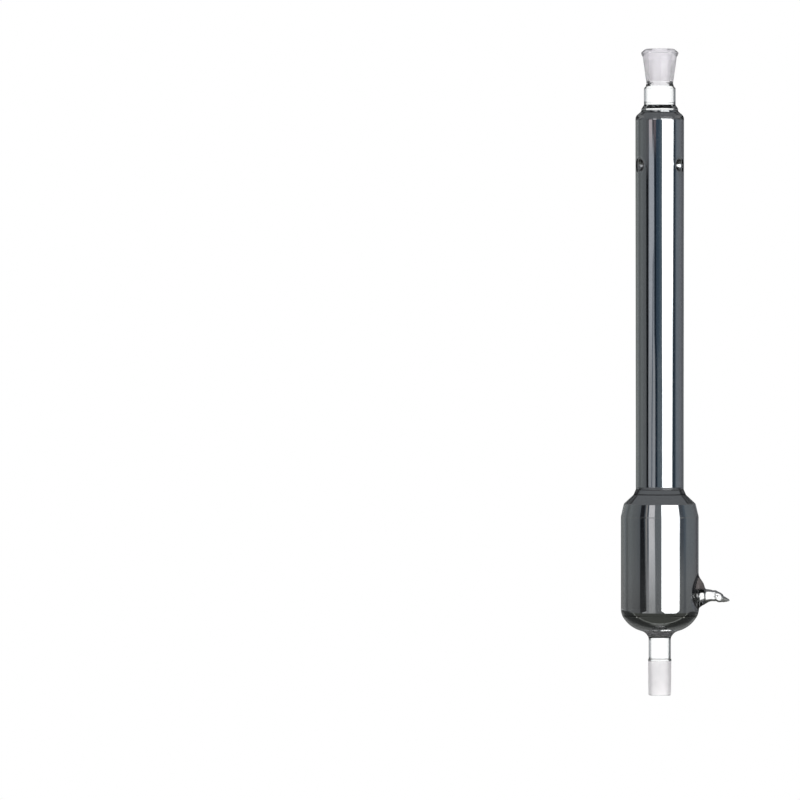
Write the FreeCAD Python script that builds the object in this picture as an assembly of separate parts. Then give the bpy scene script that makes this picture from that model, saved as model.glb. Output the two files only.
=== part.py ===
import FreeCAD, Part
import math
import os

# Silvered vacuum-jacketed column with a bulb (Allihn pattern) inner tube.
# Millimetres. Origin: centre of the ground cone's lower end, on the column's axis.
# +Z up the axis, +X towards the evacuation arm, -Y the side that faces the user.
# Profiles are lists of (r, z, rounding radius of the corner), drawn in the XZ plane.

V = FreeCAD.Vector

# ---------------------------------------------------------------- driving dimensions
TOTAL_H = 665.0          # cone end to socket rim
WALL = 2.0               # wall of the jacket, neck, stem, arm and head tube
FILM = 0.2               # stand-in thickness of each silver film

# ground joints, size 24
CONE_D = 24.0            # large end
CONE_END_D = 23.0        # small end
CONE_L = 37.0
SOCKET_D = 24.0          # large end
SOCKET_L = 29.0          # ground length
TAPER = 0.05             # the socket's radius change per mm of length
SOCKET_LARGE_Z = 661.0   # height of the socket's large end
SOCKET_SMALL_R = SOCKET_D / 2 - TAPER * SOCKET_L
SOCKET_BORE_Z = 630.6    # the bore starts to widen towards the neck below this height
RIM_R = 19.3             # flared rim
WAIST_R, WAIST_Z = 13.65, 629.8    # narrowest outside radius, under the socket

# clear tubes outside the vacuum space
NECK_R = 16.3            # outside radius
NECK_BORE = NECK_R - WALL
NECK_TOP_Z = 628.4       # the neck is sealed to the socket just under the waist
NECK_FLARE_Z = 624.6     # the neck is full width below this height
NECK_BOT_Z = 609.6
FLARE_R, FLARE_Z = 14.4, 626.6     # outside corner between the waist and the full neck
STEM_R = 11.4            # outside radius
STEM_BORE = STEM_R - WALL
STEM_TOP_R, STEM_TOP_Z = 12.8, 61.6
STEM_BOT_Z = 38.0

# inner tube, in the vacuum space
HEAD_TOP_Z = 598.0
BULB_TOP_Z = 520.0
BULB_R = 20.0            # each bulb is a sphere of this outside radius
BULB_NECK_R = 10.5
BULB_PITCH = 42.0
BULB_COUNT = 8
BULB_WALL = 1.6
BULB_BOT_Z = BULB_TOP_Z - BULB_PITCH * BULB_COUNT
BELLOWS_CREST, BELLOWS_ROOT = 25.0, 16.0
BELLOWS_PITCH, BELLOWS_TURNS = 16.0, 4
BELLOWS_WALL = 1.3
BELLOWS_FLANK = math.radians(62.0)     # flank angle from the axis
BELLOWS_END_ROUND = 3.0
BELLOWS_FIRST_Z = 164.0  # highest crest
BELLOWS_BOT_Z = 100.0
FOOT_BOT_Z = 72.0

# jacket
JACKET_TUBE_R = 25.0
JACKET_BULB_R = 40.0
SEAM_Z = 214.0           # jacket tube to jacket bulb
SHOULDER_TOP = (20.0, 600.0, 0)    # jacket shoulder meets the top ring seal
DOME_TURN = (32.9, 70.9, 31.0)     # corner between the dome's side and its bottom
DOME_END = (20.9, 66.75, 0)        # jacket dome meets the bottom ring seal
DOME_SLOPE = (DOME_TURN[1] - DOME_END[1]) / (DOME_TURN[0] - DOME_END[0])
SMOOTH_Z = 140.0         # below this the bulb's wall and the dome are one smooth curve
JACKET_TUBE = [SHOULDER_TOP, (JACKET_TUBE_R, 595.94, 10.0), (JACKET_TUBE_R, SEAM_Z, 0)]
JACKET_BULB = [
    (JACKET_TUBE_R, SEAM_Z, 0), (JACKET_TUBE_R, 211.8, 2.6), (27.3, 206.2, 4.0),
    (35.9, 198.0, 3.0), (JACKET_BULB_R, 188.2, 12.0), (JACKET_BULB_R, 84.4, 11.0),
    DOME_TURN, DOME_END,
]
VACUUM_TOP = (NECK_R, 603.2, 0.8)  # highest corner of the vacuum space

# support dimples in the jacket tube
DIMPLE_Z = 545.0
DIMPLE_AZIMUTHS = (-150.0, -30.0, 90.0)    # 120 degrees apart; two face the front
DIMPLE_IN = 16.6         # radius the dimple's inner end reaches
DIMPLE_TOP = 30.0        # radius at which a pit solid ends, clear of the tube
# outside of a pit: (distance from its own axis, distance from the column's axis, rounding)
PIT = [(0, DIMPLE_IN + WALL, 0), (3.6, DIMPLE_IN + WALL, 3.0), (6.6, 24.3, 3.4), (12.5, 26.4, 0)]

# evacuation arm
ARM_Z = 102.5
ARM_R = 5.75
ARM_FILLET = 12.5        # flare pulled out of the jacket bulb's wall
ARM_SEAM_X = 46.0        # the arm tube is sealed to the flare here
ARM_END_X = 57.0
FILM_END_X = 42.8        # the silver stops inside the flare

# sealed tip, cross sections: (x, z, radius, downward tilt of the section's axis in radians)
TIP_OUTSIDE = [
    (ARM_END_X, ARM_Z, ARM_R, 0.0), (58.2, 102.4, 5.8, 0.05),
    (60.0, 101.4, 5.0, 0.3), (62.0, 100.3, 4.6, 0.42),
    (64.0, 99.2, 4.1, 0.42), (66.0, 98.4, 3.4, 0.3),
    (68.5, 97.8, 2.4, 0.2), (70.2, 97.5, 1.7, 0.15),
]
TIP_BORE = [
    (ARM_END_X, ARM_Z, ARM_R - WALL, 0.0), (58.2, 102.4, 3.7, 0.05),
    (60.0, 101.4, 3.1, 0.3), (62.0, 100.3, 2.7, 0.42),
    (63.6, 99.4, 1.9, 0.42), (64.6, 98.9, 0.7, 0.42),
]


# ---------------------------------------------------------------- profile helpers, in (r, z)
def direction(start, end):
    """Unit vector from one point towards another."""
    dr, dz = end[0] - start[0], end[1] - start[1]
    length = math.hypot(dr, dz)
    return (dr / length, dz / length)


def along(point, heading, distance):
    return (point[0] + heading[0] * distance, point[1] + heading[1] * distance)


def polar(centre, radius, angle):
    return along(centre, (math.cos(angle), math.sin(angle)), radius)


def radius_on_line(start, end, z):
    """Radius at height z on the line through two points."""
    return start[0] + (z - start[1]) / (end[1] - start[1]) * (end[0] - start[0])


def on_dome_slope(point, r):
    """Height at radius r on the line through a point, parallel to the dome's bottom."""
    return point[1] - DOME_SLOPE * (point[0] - r)


def at(point):
    return V(point[0], 0, point[1])


def lines(*points):
    """Straight edges from point to point."""
    return [Part.makeLine(at(a), at(b)) for a, b in zip(points, points[1:])]


def arc(start, middle, end):
    return Part.Arc(at(start), at(middle), at(end)).toShape()


def offset(profile, inset):
    """The profile moved to the right of its direction, its roundings kept concentric."""
    headings = [direction(a, b) for a, b in zip(profile, profile[1:])]
    moved = []
    for i, (r, z, rounding) in enumerate(profile):
        before = headings[max(i - 1, 0)]
        after = headings[min(i, len(headings) - 1)]
        step = inset / (1 + before[0] * after[0] + before[1] * after[1])
        turns_left = before[0] * after[1] - before[1] * after[0] > 0
        if rounding > 0:
            rounding += inset if turns_left else -inset
        moved.append((r + step * (before[1] + after[1]),
                      z - step * (before[0] + after[0]), rounding))
    return moved


def rounded(profile):
    """Edges of an open profile with its corners rounded."""
    corners = []
    for i, point in enumerate(profile):
        rounding = point[2]
        if rounding <= 0:
            corners.append((point, None, point))
            continue
        back = direction(point, profile[i - 1])
        ahead = direction(point, profile[i + 1])
        inward = direction((0, 0), (back[0] + ahead[0], back[1] + ahead[1]))
        half_angle = math.acos(back[0] * ahead[0] + back[1] * ahead[1]) / 2
        reach = rounding / math.tan(half_angle)
        depth = rounding / math.sin(half_angle) - rounding
        corners.append((along(point, back, reach), along(point, inward, depth),
                        along(point, ahead, reach)))
    edges = []
    for i, (start, middle, end) in enumerate(corners):
        if middle is not None:
            edges.append(arc(start, middle, end))
        if i < len(corners) - 1:
            following = corners[i + 1][0]
            if math.hypot(following[0] - end[0], following[1] - end[1]) > 1e-6:
                edges += lines(end, following)
    return edges


def revolve(edges):
    wire = Part.Wire(Part.__sortEdges__(edges))
    solid = Part.Face(wire).revolve(V(0, 0, 0), V(0, 0, 1), 360)
    if solid.Volume < 0:     # depends on which way round the section runs
        solid.reverse()
    return solid


def closed(*corners):
    """Revolve a closed section given corner by corner."""
    # start halfway along a side, so that every corner can be rounded
    first, last = corners[0], corners[-1]
    middle = ((first[0] + last[0]) / 2, (first[1] + last[1]) / 2, 0)
    return revolve(rounded([middle, *corners, middle]))


def between(profile, inset_a, inset_b):
    """Shell between two offsets of one profile."""
    a, b = offset(profile, inset_a), offset(profile, inset_b)
    return revolve(rounded(a) + rounded(b) + lines(a[0], b[0]) + lines(a[-1], b[-1]))


def tube(outer_r, inner_r, bottom_z, top_z):
    return closed((outer_r, top_z, 0), (outer_r, bottom_z, 0),
                  (inner_r, bottom_z, 0), (inner_r, top_z, 0))


def largest(shape):
    return max(shape.Solids, key=lambda solid: solid.Volume)


# ---------------------------------------------------------------- top socket, neck and ring seal
# outer and inner corner of the face the socket and the neck share
NECK_SEAM_OUT = (
    radius_on_line((WAIST_R, WAIST_Z), (FLARE_R, FLARE_Z), NECK_TOP_Z), NECK_TOP_Z, 0)
NECK_SEAM_IN = (
    radius_on_line((SOCKET_SMALL_R, SOCKET_BORE_Z), (NECK_BORE, NECK_FLARE_Z), NECK_TOP_Z),
    NECK_TOP_Z, 0)


def top_socket():
    return closed(
        (14.9, TOTAL_H, 1.2), (RIM_R, TOTAL_H - 3.7, 1.1), (18.7, TOTAL_H - 6.0, 1.2),
        (17.55, TOTAL_H - 7.8, 2.2), (WAIST_R, WAIST_Z, 1.0),
        NECK_SEAM_OUT, NECK_SEAM_IN,
        (SOCKET_SMALL_R, SOCKET_BORE_Z, 1.0), (SOCKET_SMALL_R, SOCKET_LARGE_Z - SOCKET_L, 0),
        (SOCKET_D / 2, SOCKET_LARGE_Z, 1.5), (13.0, TOTAL_H, 0.6),
    )


def neck_tube():
    return closed(
        NECK_SEAM_OUT, (FLARE_R, FLARE_Z, 2.0), (NECK_R, NECK_FLARE_Z, 1.5),
        (NECK_R, NECK_BOT_Z, 0), (NECK_BORE, NECK_BOT_Z, 0),
        (NECK_BORE, NECK_FLARE_Z, 2.0), NECK_SEAM_IN,
    )


def top_ring_seal():
    """Joins the neck, the head of the inner tube and the jacket's shoulder."""
    return closed(
        (NECK_R, NECK_BOT_Z, 0), (NECK_R, 607.4, 1.0), (18.95, 603.4, 1.4), (18.95, 601.3, 0.6),
        SHOULDER_TOP, offset(JACKET_TUBE, WALL)[0], VACUUM_TOP,
        (NECK_R, HEAD_TOP_Z, 0), (NECK_BORE, HEAD_TOP_Z, 0), (NECK_BORE, NECK_BOT_Z, 0),
    )


# ---------------------------------------------------------------- jacket tube
def pits(inset, top):
    """The three pits, moved in by the inset, as solids that end at radius top."""
    profile = offset(PIT, inset)
    start, end = profile[0], profile[-1]
    pit = revolve(rounded(profile) + lines(end, (end[0], top), (0, top), start))
    placed = []
    for azimuth in DIMPLE_AZIMUTHS:
        copy = pit.copy()
        copy.rotate(V(0, 0, 0), V(0, 1, 0), 90)      # its axis from +Z to +X
        copy.translate(V(0, 0, DIMPLE_Z))
        copy.rotate(V(0, 0, 0), V(0, 0, 1), azimuth)
        placed.append(copy)
    return placed


def dimpled(shell, inset, thickness, hollow_top):
    """A layer of the jacket tube, its outside inset from the tube's, with the dimples added."""
    for pit in pits(inset, DIMPLE_TOP):
        shell = shell.cut(pit)
    band = Part.makeCylinder(JACKET_TUBE_R - inset, 60, V(0, 0, DIMPLE_Z - 30))
    for pit, hollow in zip(pits(inset + thickness, DIMPLE_TOP), pits(inset, hollow_top)):
        shell = shell.fuse(pit.cut(hollow).common(band))
    return shell.removeSplitter().Solids[0]


def jacket_tube():
    return dimpled(between(JACKET_TUBE, 0.0, WALL), 0.0, WALL, hollow_top=32.0)


# ---------------------------------------------------------------- jacket bulb and arm
DOME_END_IN = offset(JACKET_BULB, WALL)[-1]


def smooth_bulb_edges(profile):
    """Edges of the bulb's profile, with one spline from SMOOTH_Z round to the dome's bottom."""
    edges = rounded(profile)
    wall_index = max(i for i, edge in enumerate(edges) if edge.Length > 60)
    wall, bottom = edges[wall_index], edges[-1]
    r = wall.Vertexes[0].Point.x
    wall_top = max(vertex.Point.z for vertex in wall.Vertexes)
    wall_bottom = min(vertex.Point.z for vertex in wall.Vertexes)
    path = [V(r, 0, SMOOTH_Z + (wall_bottom - SMOOTH_Z) * i / 10.0) for i in range(11)]
    for edge in edges[wall_index + 1:-1]:
        count = 16 if edge.Length > 2 else 2
        first, last = edge.FirstParameter, edge.LastParameter
        turn = [edge.valueAt(first + (last - first) * i / count) for i in range(count + 1)]
        if (turn[0] - path[-1]).Length > (turn[-1] - path[-1]).Length:
            turn = turn[::-1]
        path += turn[1:]
    near, far = bottom.Vertexes[0].Point, bottom.Vertexes[-1].Point
    if (near - path[-1]).Length > (far - path[-1]).Length:
        near, far = far, near
    end_tangent = far.sub(near)
    end_tangent.normalize()
    curve = Part.BSplineCurve()
    curve.interpolate(Points=path, InitialTangent=V(0, 0, -1), FinalTangent=end_tangent)
    straight = lines((r, wall_top), (r, SMOOTH_Z))
    return edges[:wall_index] + straight + [curve.toShape(), bottom]


def bulb_body(inset):
    """The jacket bulb and arm as a solid, moved in by the inset and filleted together."""
    profile = offset(JACKET_BULB, inset)
    top, bottom = profile[0], profile[-1]
    to_axis = lines(top, (0, top[1]), (0, bottom[1]), bottom)
    body = revolve(smooth_bulb_edges(profile) + to_axis)
    body.rotate(V(0, 0, 0), V(0, 0, 1), 180)     # the surface's seam away from the arm
    arm_r = ARM_R - inset
    stub = Part.makeCylinder(arm_r, 90.0, V(0, 0, ARM_Z), V(1, 0, 0))
    whole = body.fuse(stub).removeSplitter()
    joint = []
    for edge in whole.Edges:
        box = edge.BoundBox
        if (edge.Length > 1
                and box.XMin > JACKET_BULB_R - 10 and box.XMax < JACKET_BULB_R + 5
                and max(-box.YMin, box.YMax) < arm_r + 0.1
                and box.ZMin > ARM_Z - arm_r - 0.3 and box.ZMax < ARM_Z + arm_r + 0.3):
            joint.append(edge)
    beyond_arm = Part.makeBox(200, 200, 400, V(ARM_END_X, -100, 0))
    return whole.makeFillet(ARM_FILLET + inset, joint).cut(beyond_arm)


def below_dome():
    """Everything under the slanting face the dome shares with the ring seal."""
    across = direction(DOME_END, DOME_END_IN)
    outer = along(DOME_END, across, -8)
    inner = along(DOME_END_IN, across, 8)
    return revolve(lines(outer, inner, (0, inner[1]), (0, outer[1]), outer))


def bulb_layer(inset, thickness):
    """A layer of the jacket bulb and arm, trimmed at the ring seal."""
    return bulb_body(inset).cut(bulb_body(inset + thickness)).cut(below_dome())


bulb_wall = bulb_layer(0.0, WALL)
arm_side = Part.makeBox(100, 200, 400, V(ARM_SEAM_X, -100, 0))


def jacket_bulb():
    return largest(bulb_wall.cut(arm_side))


def evacuation_arm():
    return largest(bulb_wall.common(arm_side))


def lofted(sections):
    wires = []
    for x, z, radius, tilt in sections:
        normal = V(math.cos(tilt), 0, -math.sin(tilt))
        wires.append(Part.Wire([Part.makeCircle(radius, V(x, 0, z), normal)]))
    return Part.makeLoft(wires, True, False)


def sealed_tip():
    """Drooping, drawn-off end of the arm, with a round point."""
    x, z, radius, _ = TIP_OUTSIDE[-1]
    end_ball = Part.makeSphere(radius, V(x, 0, z))
    outside = lofted(TIP_OUTSIDE).fuse(end_ball).removeSplitter()
    return largest(outside.cut(lofted(TIP_BORE)))


# ---------------------------------------------------------------- bottom ring seal, stem and cone
# corner of the vacuum space between the ring seal's floor and the foot tube
VACUUM_BOTTOM = (STEM_R, on_dome_slope(DOME_END_IN, STEM_R), 2.0)


def bottom_ring_seal():
    """Joins the jacket's dome, the foot of the inner tube and the stem."""
    turn_r = 15.6
    return closed(
        DOME_END, (turn_r, on_dome_slope(DOME_END, turn_r), 8.0),
        (STEM_TOP_R, STEM_TOP_Z, 0), (STEM_BORE, STEM_TOP_Z, 0),
        (STEM_BORE, FOOT_BOT_Z, 0), (STEM_R, FOOT_BOT_Z, 0),
        VACUUM_BOTTOM, DOME_END_IN,
    )


def stem_tube():
    return closed(
        (STEM_TOP_R, STEM_TOP_Z, 0), (STEM_R, 59.9, 6.0), (STEM_R, STEM_BOT_Z, 0),
        (STEM_BORE, STEM_BOT_Z, 0), (STEM_BORE, STEM_TOP_Z, 0),
    )


def bottom_cone():
    return closed(
        (STEM_R, STEM_BOT_Z, 0), (CONE_D / 2, CONE_L - 0.2, 0.6), (CONE_END_D / 2, 0.0, 1.4),
        (STEM_BORE, 0.0, 0.5), (STEM_BORE, STEM_BOT_Z, 0),
    )


# ---------------------------------------------------------------- inner tube
HEAD = [
    (NECK_R, HEAD_TOP_Z, 0), (NECK_R, 530.5, 7.0),
    (BULB_NECK_R, 524.5, 5.0), (BULB_NECK_R, BULB_TOP_Z, 0),
]


def bulb_edges(inset):
    """The bulb tube's profile moved in by the inset: spheres joined by tangent throats."""
    half = BULB_PITCH / 2
    throat = (half ** 2 + BULB_NECK_R ** 2 - BULB_R ** 2) / (2 * (BULB_R - BULB_NECK_R))
    throat_centre_r = BULB_NECK_R + throat
    sphere_r, throat_r = BULB_R - inset, throat + inset
    edges = []
    for i in range(BULB_COUNT):
        centre = (0, BULB_TOP_Z - half - i * BULB_PITCH)
        for side in (1, -1):
            throat_centre = (throat_centre_r, centre[1] + side * half)
            angle = math.atan2(side * half, throat_centre_r)
            tangent_point = polar(centre, sphere_r, angle)
            edges.append(arc(tangent_point, polar(centre, sphere_r, angle / 2),
                             polar(centre, sphere_r, 0)))
            edges.append(arc(tangent_point, polar(throat_centre, throat_r, math.pi + angle / 2),
                             polar(throat_centre, throat_r, math.pi)))
    return edges


def bulbs_between(inset_a, inset_b):
    edges = bulb_edges(inset_a) + bulb_edges(inset_b)
    for z in (BULB_TOP_Z, BULB_BOT_Z):
        edges += lines((BULB_NECK_R - inset_a, z), (BULB_NECK_R - inset_b, z))
    return revolve(edges)


def bellows_profile():
    """Straight flanks with rounded crests and roots, between two plain ends."""
    tangent = math.tan(BELLOWS_FLANK)
    excess = 1 / math.cos(BELLOWS_FLANK) - 1     # sharp corner beyond its round, per radius
    sharp_depth = BELLOWS_PITCH / 2 * tangent
    bend = (sharp_depth - (BELLOWS_CREST - BELLOWS_ROOT)) / 2 / excess
    crest = BELLOWS_CREST + bend * excess
    root = BELLOWS_ROOT - bend * excess
    profile = [
        (BULB_NECK_R, BULB_BOT_Z, 0),
        (BULB_NECK_R, BELLOWS_FIRST_Z + (crest - BULB_NECK_R) / tangent, BELLOWS_END_ROUND),
    ]
    for i in range(BELLOWS_TURNS):
        profile.append((crest, BELLOWS_FIRST_Z - i * BELLOWS_PITCH, bend))
        if i < BELLOWS_TURNS - 1:
            profile.append((root, BELLOWS_FIRST_Z - (i + 0.5) * BELLOWS_PITCH, bend))
    last_z = BELLOWS_FIRST_Z - (BELLOWS_TURNS - 1) * BELLOWS_PITCH
    profile.append((STEM_R, last_z - (crest - STEM_R) / tangent, BELLOWS_END_ROUND))
    profile.append((STEM_R, BELLOWS_BOT_Z, 0))
    return profile


# ---------------------------------------------------------------- silver films on the vacuum side
def jacket_silvering():
    # over the ring seal's underside and down the jacket tube in one piece
    profile = [(NECK_R, HEAD_TOP_Z, 0), VACUUM_TOP] + offset(JACKET_TUBE, WALL)
    tube_film = dimpled(between(profile, 0.0, FILM), WALL, FILM, hollow_top=DIMPLE_TOP)
    silvered = Part.makeBox(FILM_END_X + 60, 120, 300, V(-60, -60, 0))
    bulb_film = largest(bulb_layer(WALL, FILM).common(silvered))
    seal_film = between([DOME_END_IN, VACUUM_BOTTOM, (STEM_R, FOOT_BOT_Z, 0)], 0.0, FILM)
    return [tube_film, bulb_film, seal_film]


def inner_tube_silvering():
    return [
        between(HEAD, -FILM, 0.0),
        bulbs_between(-FILM, 0.0),
        between(bellows_profile(), -FILM, 0.0),
        tube(STEM_R + FILM, STEM_R, FOOT_BOT_Z, BELLOWS_BOT_Z),
    ]


# ---------------------------------------------------------------- files, one per physical piece
PIECES = {
    "top_socket": [top_socket()],
    "neck_tube": [neck_tube()],
    "top_ring_seal": [top_ring_seal()],
    "jacket_tube": [jacket_tube()],
    "jacket_bulb": [jacket_bulb()],
    "bottom_ring_seal": [bottom_ring_seal()],
    "stem_tube": [stem_tube()],
    "bottom_cone": [bottom_cone()],
    "evacuation_arm": [evacuation_arm()],
    "sealed_tip": [sealed_tip()],
    "inner_head_tube": [between(HEAD, 0.0, WALL)],
    "allihn_bulb_tube": [bulbs_between(0.0, BULB_WALL)],
    "expansion_bellows": [between(bellows_profile(), 0.0, BELLOWS_WALL)],
    "inner_foot_tube": [tube(STEM_R, STEM_BORE, FOOT_BOT_Z, BELLOWS_BOT_Z)],
    "jacket_silvering": jacket_silvering(),
    "inner_tube_silvering": inner_tube_silvering(),
}

os.makedirs("parts", exist_ok=True)
for name, shapes in PIECES.items():
    solids = [solid for shape in shapes for solid in shape.Solids]
    piece = solids[0] if len(solids) == 1 else Part.makeCompound(solids)
    piece.exportStep(os.path.join("parts", name + ".step"))
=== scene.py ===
import bpy
import math
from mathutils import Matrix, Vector, noise


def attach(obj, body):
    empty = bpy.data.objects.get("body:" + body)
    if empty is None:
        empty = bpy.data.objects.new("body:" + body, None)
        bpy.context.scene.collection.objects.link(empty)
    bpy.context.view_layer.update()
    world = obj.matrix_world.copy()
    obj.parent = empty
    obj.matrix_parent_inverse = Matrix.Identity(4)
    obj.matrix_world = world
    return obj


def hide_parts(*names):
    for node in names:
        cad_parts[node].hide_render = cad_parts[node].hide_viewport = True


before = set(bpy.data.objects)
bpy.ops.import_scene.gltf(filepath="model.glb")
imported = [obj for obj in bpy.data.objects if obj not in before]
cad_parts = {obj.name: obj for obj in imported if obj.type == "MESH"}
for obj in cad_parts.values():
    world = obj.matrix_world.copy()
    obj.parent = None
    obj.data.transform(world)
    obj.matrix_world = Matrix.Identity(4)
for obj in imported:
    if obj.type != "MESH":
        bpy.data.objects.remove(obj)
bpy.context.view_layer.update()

MM = 0.001
JACKET_SEGS = 288    # sides of the revolved outer pieces
BULB_SEGS = 384      # sides of the wide jacket, which carries the pulled flare
INNER_SEGS = 160     # sides of the inner tube
ARM_SEGS = 64        # sides of the evacuation arm

GAP = 0.02           # air gap at a seam, on each side of it
FILM_NEAR = 0.03     # glass to the near face of the silver film
FILM_FAR = 0.2       # glass to the far face of the silver film
WALL = 2.0


# ------------------------------------------------------------------ profiles
# A profile is (points, radii): corners (r, z) and the rounding of each corner.


def unit(start, end):
    d = (end[0] - start[0], end[1] - start[1])
    n = math.hypot(*d)
    return (d[0] / n, d[1] / n)


def moved(point, direction, distance):
    return (point[0] + direction[0] * distance, point[1] + direction[1] * distance)


def lerp(a, b, share):
    return (a[0] + (b[0] - a[0]) * share, a[1] + (b[1] - a[1]) * share)


def offset(points, radii, distance):
    """The profile moved to the right of its direction."""
    dirs = [unit(a, b) for a, b in zip(points, points[1:])]
    rights = [(d[1], -d[0]) for d in dirs]
    out, out_radii = [moved(points[0], rights[0], distance)], [0]
    for i in range(1, len(points) - 1):
        d0, d1 = dirs[i - 1], dirs[i]
        cross = d0[0] * d1[1] - d0[1] * d1[0]
        dot = d0[0] * d1[0] + d0[1] * d1[1]
        bisector = (rights[i - 1][0] + rights[i][0], rights[i - 1][1] + rights[i][1])
        out.append(moved(points[i], bisector, distance / (1 + dot)))
        grown = radii[i] + (distance if cross > 0 else -distance)
        out_radii.append(max(0.05, grown) if radii[i] > 0 else 0)
    out.append(moved(points[-1], rights[-1], distance))
    out_radii.append(0)
    return out, out_radii


def rounded(points, radii, step=6.0, close=False):
    """Samples a profile with its corners rounded. step is the arc per sample, in degrees."""
    long_run, guard = 30, 0.04
    out = []
    for i, corner in enumerate(points):
        radius = radii[i]
        if (not close and i in (0, len(points) - 1)) or radius <= 1e-6:
            out.append(corner)
            continue
        before, after = points[i - 1], points[(i + 1) % len(points)]
        a, b = unit(corner, before), unit(corner, after)
        angle = math.acos(max(-1.0, min(1.0, a[0] * b[0] + a[1] * b[1])))
        if math.pi - angle < 1e-3:
            out.append(corner)
            continue
        reach = radius / math.tan(angle / 2)
        limit = min(math.dist(corner, before), math.dist(corner, after))
        limit *= 0.499 if close else 1.0
        if reach > limit:
            reach = limit
            radius = reach * math.tan(angle / 2)
        start, end = moved(corner, a, reach), moved(corner, b, reach)
        m = (a[0] + b[0], a[1] + b[1])
        m_len = math.hypot(*m)
        center = (
            corner[0] + m[0] / m_len * radius / math.sin(angle / 2),
            corner[1] + m[1] / m_len * radius / math.sin(angle / 2),
        )
        a0 = math.atan2(start[1] - center[1], start[0] - center[0])
        a1 = math.atan2(end[1] - center[1], end[0] - center[0])
        while a1 - a0 > math.pi:
            a1 -= 2 * math.pi
        while a1 - a0 < -math.pi:
            a1 += 2 * math.pi
        count = max(2, int(abs(math.degrees(a1 - a0)) / step) + 1)
        # a ring just outside a bend that meets a long wall, so that the wall shades straight
        if math.dist(corner, before) > long_run:
            out.append(moved(start, a, guard))
        for j in range(count + 1):
            t = a0 + (a1 - a0) * j / count
            out.append((center[0] + radius * math.cos(t), center[1] + radius * math.sin(t)))
        if math.dist(corner, after) > long_run:
            out.append(moved(end, b, guard))
    return out


def refine(line, longest, close=False):
    """Cuts sides longer than longest, which is a length or a function of z."""
    out = []
    for a, b in zip(line, line[1:] + line[:1] if close else line[1:]):
        length = math.dist(a, b)
        limit = longest((a[1] + b[1]) / 2) if callable(longest) else longest
        if callable(longest) and length > limit:
            # walk, so that a long side is cut by the local limit
            shares = [0.0]
            while shares[-1] < 1.0:
                share = shares[-1]
                z = a[1] + (b[1] - a[1]) * share
                z_next = a[1] + (b[1] - a[1]) * min(1.0, share + 0.5 / length)
                stride = min(longest(z), longest(z_next)) / length
                shares.append(min(share + stride, 1.0))
            shares.pop()
        else:
            count = max(1, math.ceil(length / limit))
            shares = [j / count for j in range(count)]
        out += [lerp(a, b, share) for share in shares]
    if not close:
        out.append(line[-1])
    return out


def with_mid(profile):
    """Adds points on long runs, because rounded() halves a corner's reach on closed loops."""
    points, radii = profile
    out, out_radii = [points[0]], [radii[0]]
    for i in range(1, len(points)):
        a, b = points[i - 1], points[i]
        if math.dist(a, b) > 60:
            out += [lerp(a, b, 0.35), lerp(a, b, 0.65)]
            out_radii += [0, 0]
        out.append(b)
        out_radii.append(radii[i])
    return out, out_radii


def trim_ends(points, gap):
    """Pulls both ends back along the line."""
    points = list(points)
    points[0] = moved(points[0], unit(points[0], points[1]), gap)
    points[-1] = moved(points[-1], unit(points[-1], points[-2]), gap)
    return points


def trim_z(line, gap):
    """Pulls both ends of a downward line back along Z."""
    (r0, z0), (r1, z1) = line[0], line[-1]
    return [(r0, z0 - gap)] + line[1:-1] + [(r1, z1 + gap)]


def loop_from(outer, inner):
    return outer + inner[::-1]


def wall_loop(outer, inner, gap=GAP):
    return loop_from(trim_z(outer, gap), trim_z(inner, gap))


def offset_wall(profile, outer, inner, gap=GAP):
    """The loop between two offsets of a profile."""
    outer_line = rounded(*offset(*profile, outer))
    return wall_loop(outer_line, rounded(*offset(*profile, inner)), gap)


def wobble(point):
    """Strays from true like hand-worked tube: slow along the tube, quicker round it."""
    x, y, z = point
    r = math.hypot(x, y)
    if r < 1e-6:
        return point
    # the noise is read on a 25 mm cylinder, so that all the walls stray together
    nx, ny = x * 25 / r, y * 25 / r
    slow = noise.noise(Vector((nx / 21.0 + 3.1, ny / 21.0 + 7.7, z / 95.0 + 1.3)))
    quick = noise.noise(Vector((nx / 9.0 + 11.0, ny / 9.0 + 2.0, z / 60.0 + 5.0)))
    stray = 0.055 * slow + 0.012 * quick
    if 199 < z < 596:
        # drawn tube: a third of a mm slimmer towards its lower end, full size at the shoulder
        thinning = min(1.0, max(0.0, (580 - z) / 330))
        stray -= 0.36 * thinning * min(1.0, max(0.0, (z - 199) / 13))
    k = 1 + stray / r
    return (x * k, y * k, z)


# ------------------------------------------------------------------ mesh building
pieces = {}


def make_object(name, verts, faces, materials, sharp, material_ids=None):
    mesh = bpy.data.meshes.new(name)
    mesh.from_pydata([(x * MM, y * MM, z * MM) for x, y, z in verts], [], faces)
    for material in materials:
        mesh.materials.append(material)
    if material_ids is not None:
        mesh.polygons.foreach_set("material_index", material_ids)
    mesh.update()
    mesh.validate()
    mesh.shade_smooth()
    mesh.set_sharp_from_angle(angle=math.radians(sharp))
    ob = bpy.data.objects.new(name, mesh)
    bpy.context.scene.collection.objects.link(ob)
    pieces[name] = ob


def ring_faces(first, second, segs, flip=False):
    """Quads between two rings, given by the index of their first vertices."""
    quads = []
    for j in range(segs):
        j2 = (j + 1) % segs
        quad = (first + j, second + j, second + j2, first + j2)
        quads.append(quad[::-1] if flip else quad)
    return quads


def fan_faces(ring, pole, segs, flip=False):
    """Triangles from a ring to a pole."""
    fan = [(ring + j, pole, ring + (j + 1) % segs) for j in range(segs)]
    return [face[::-1] for face in fan] if flip else fan


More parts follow.
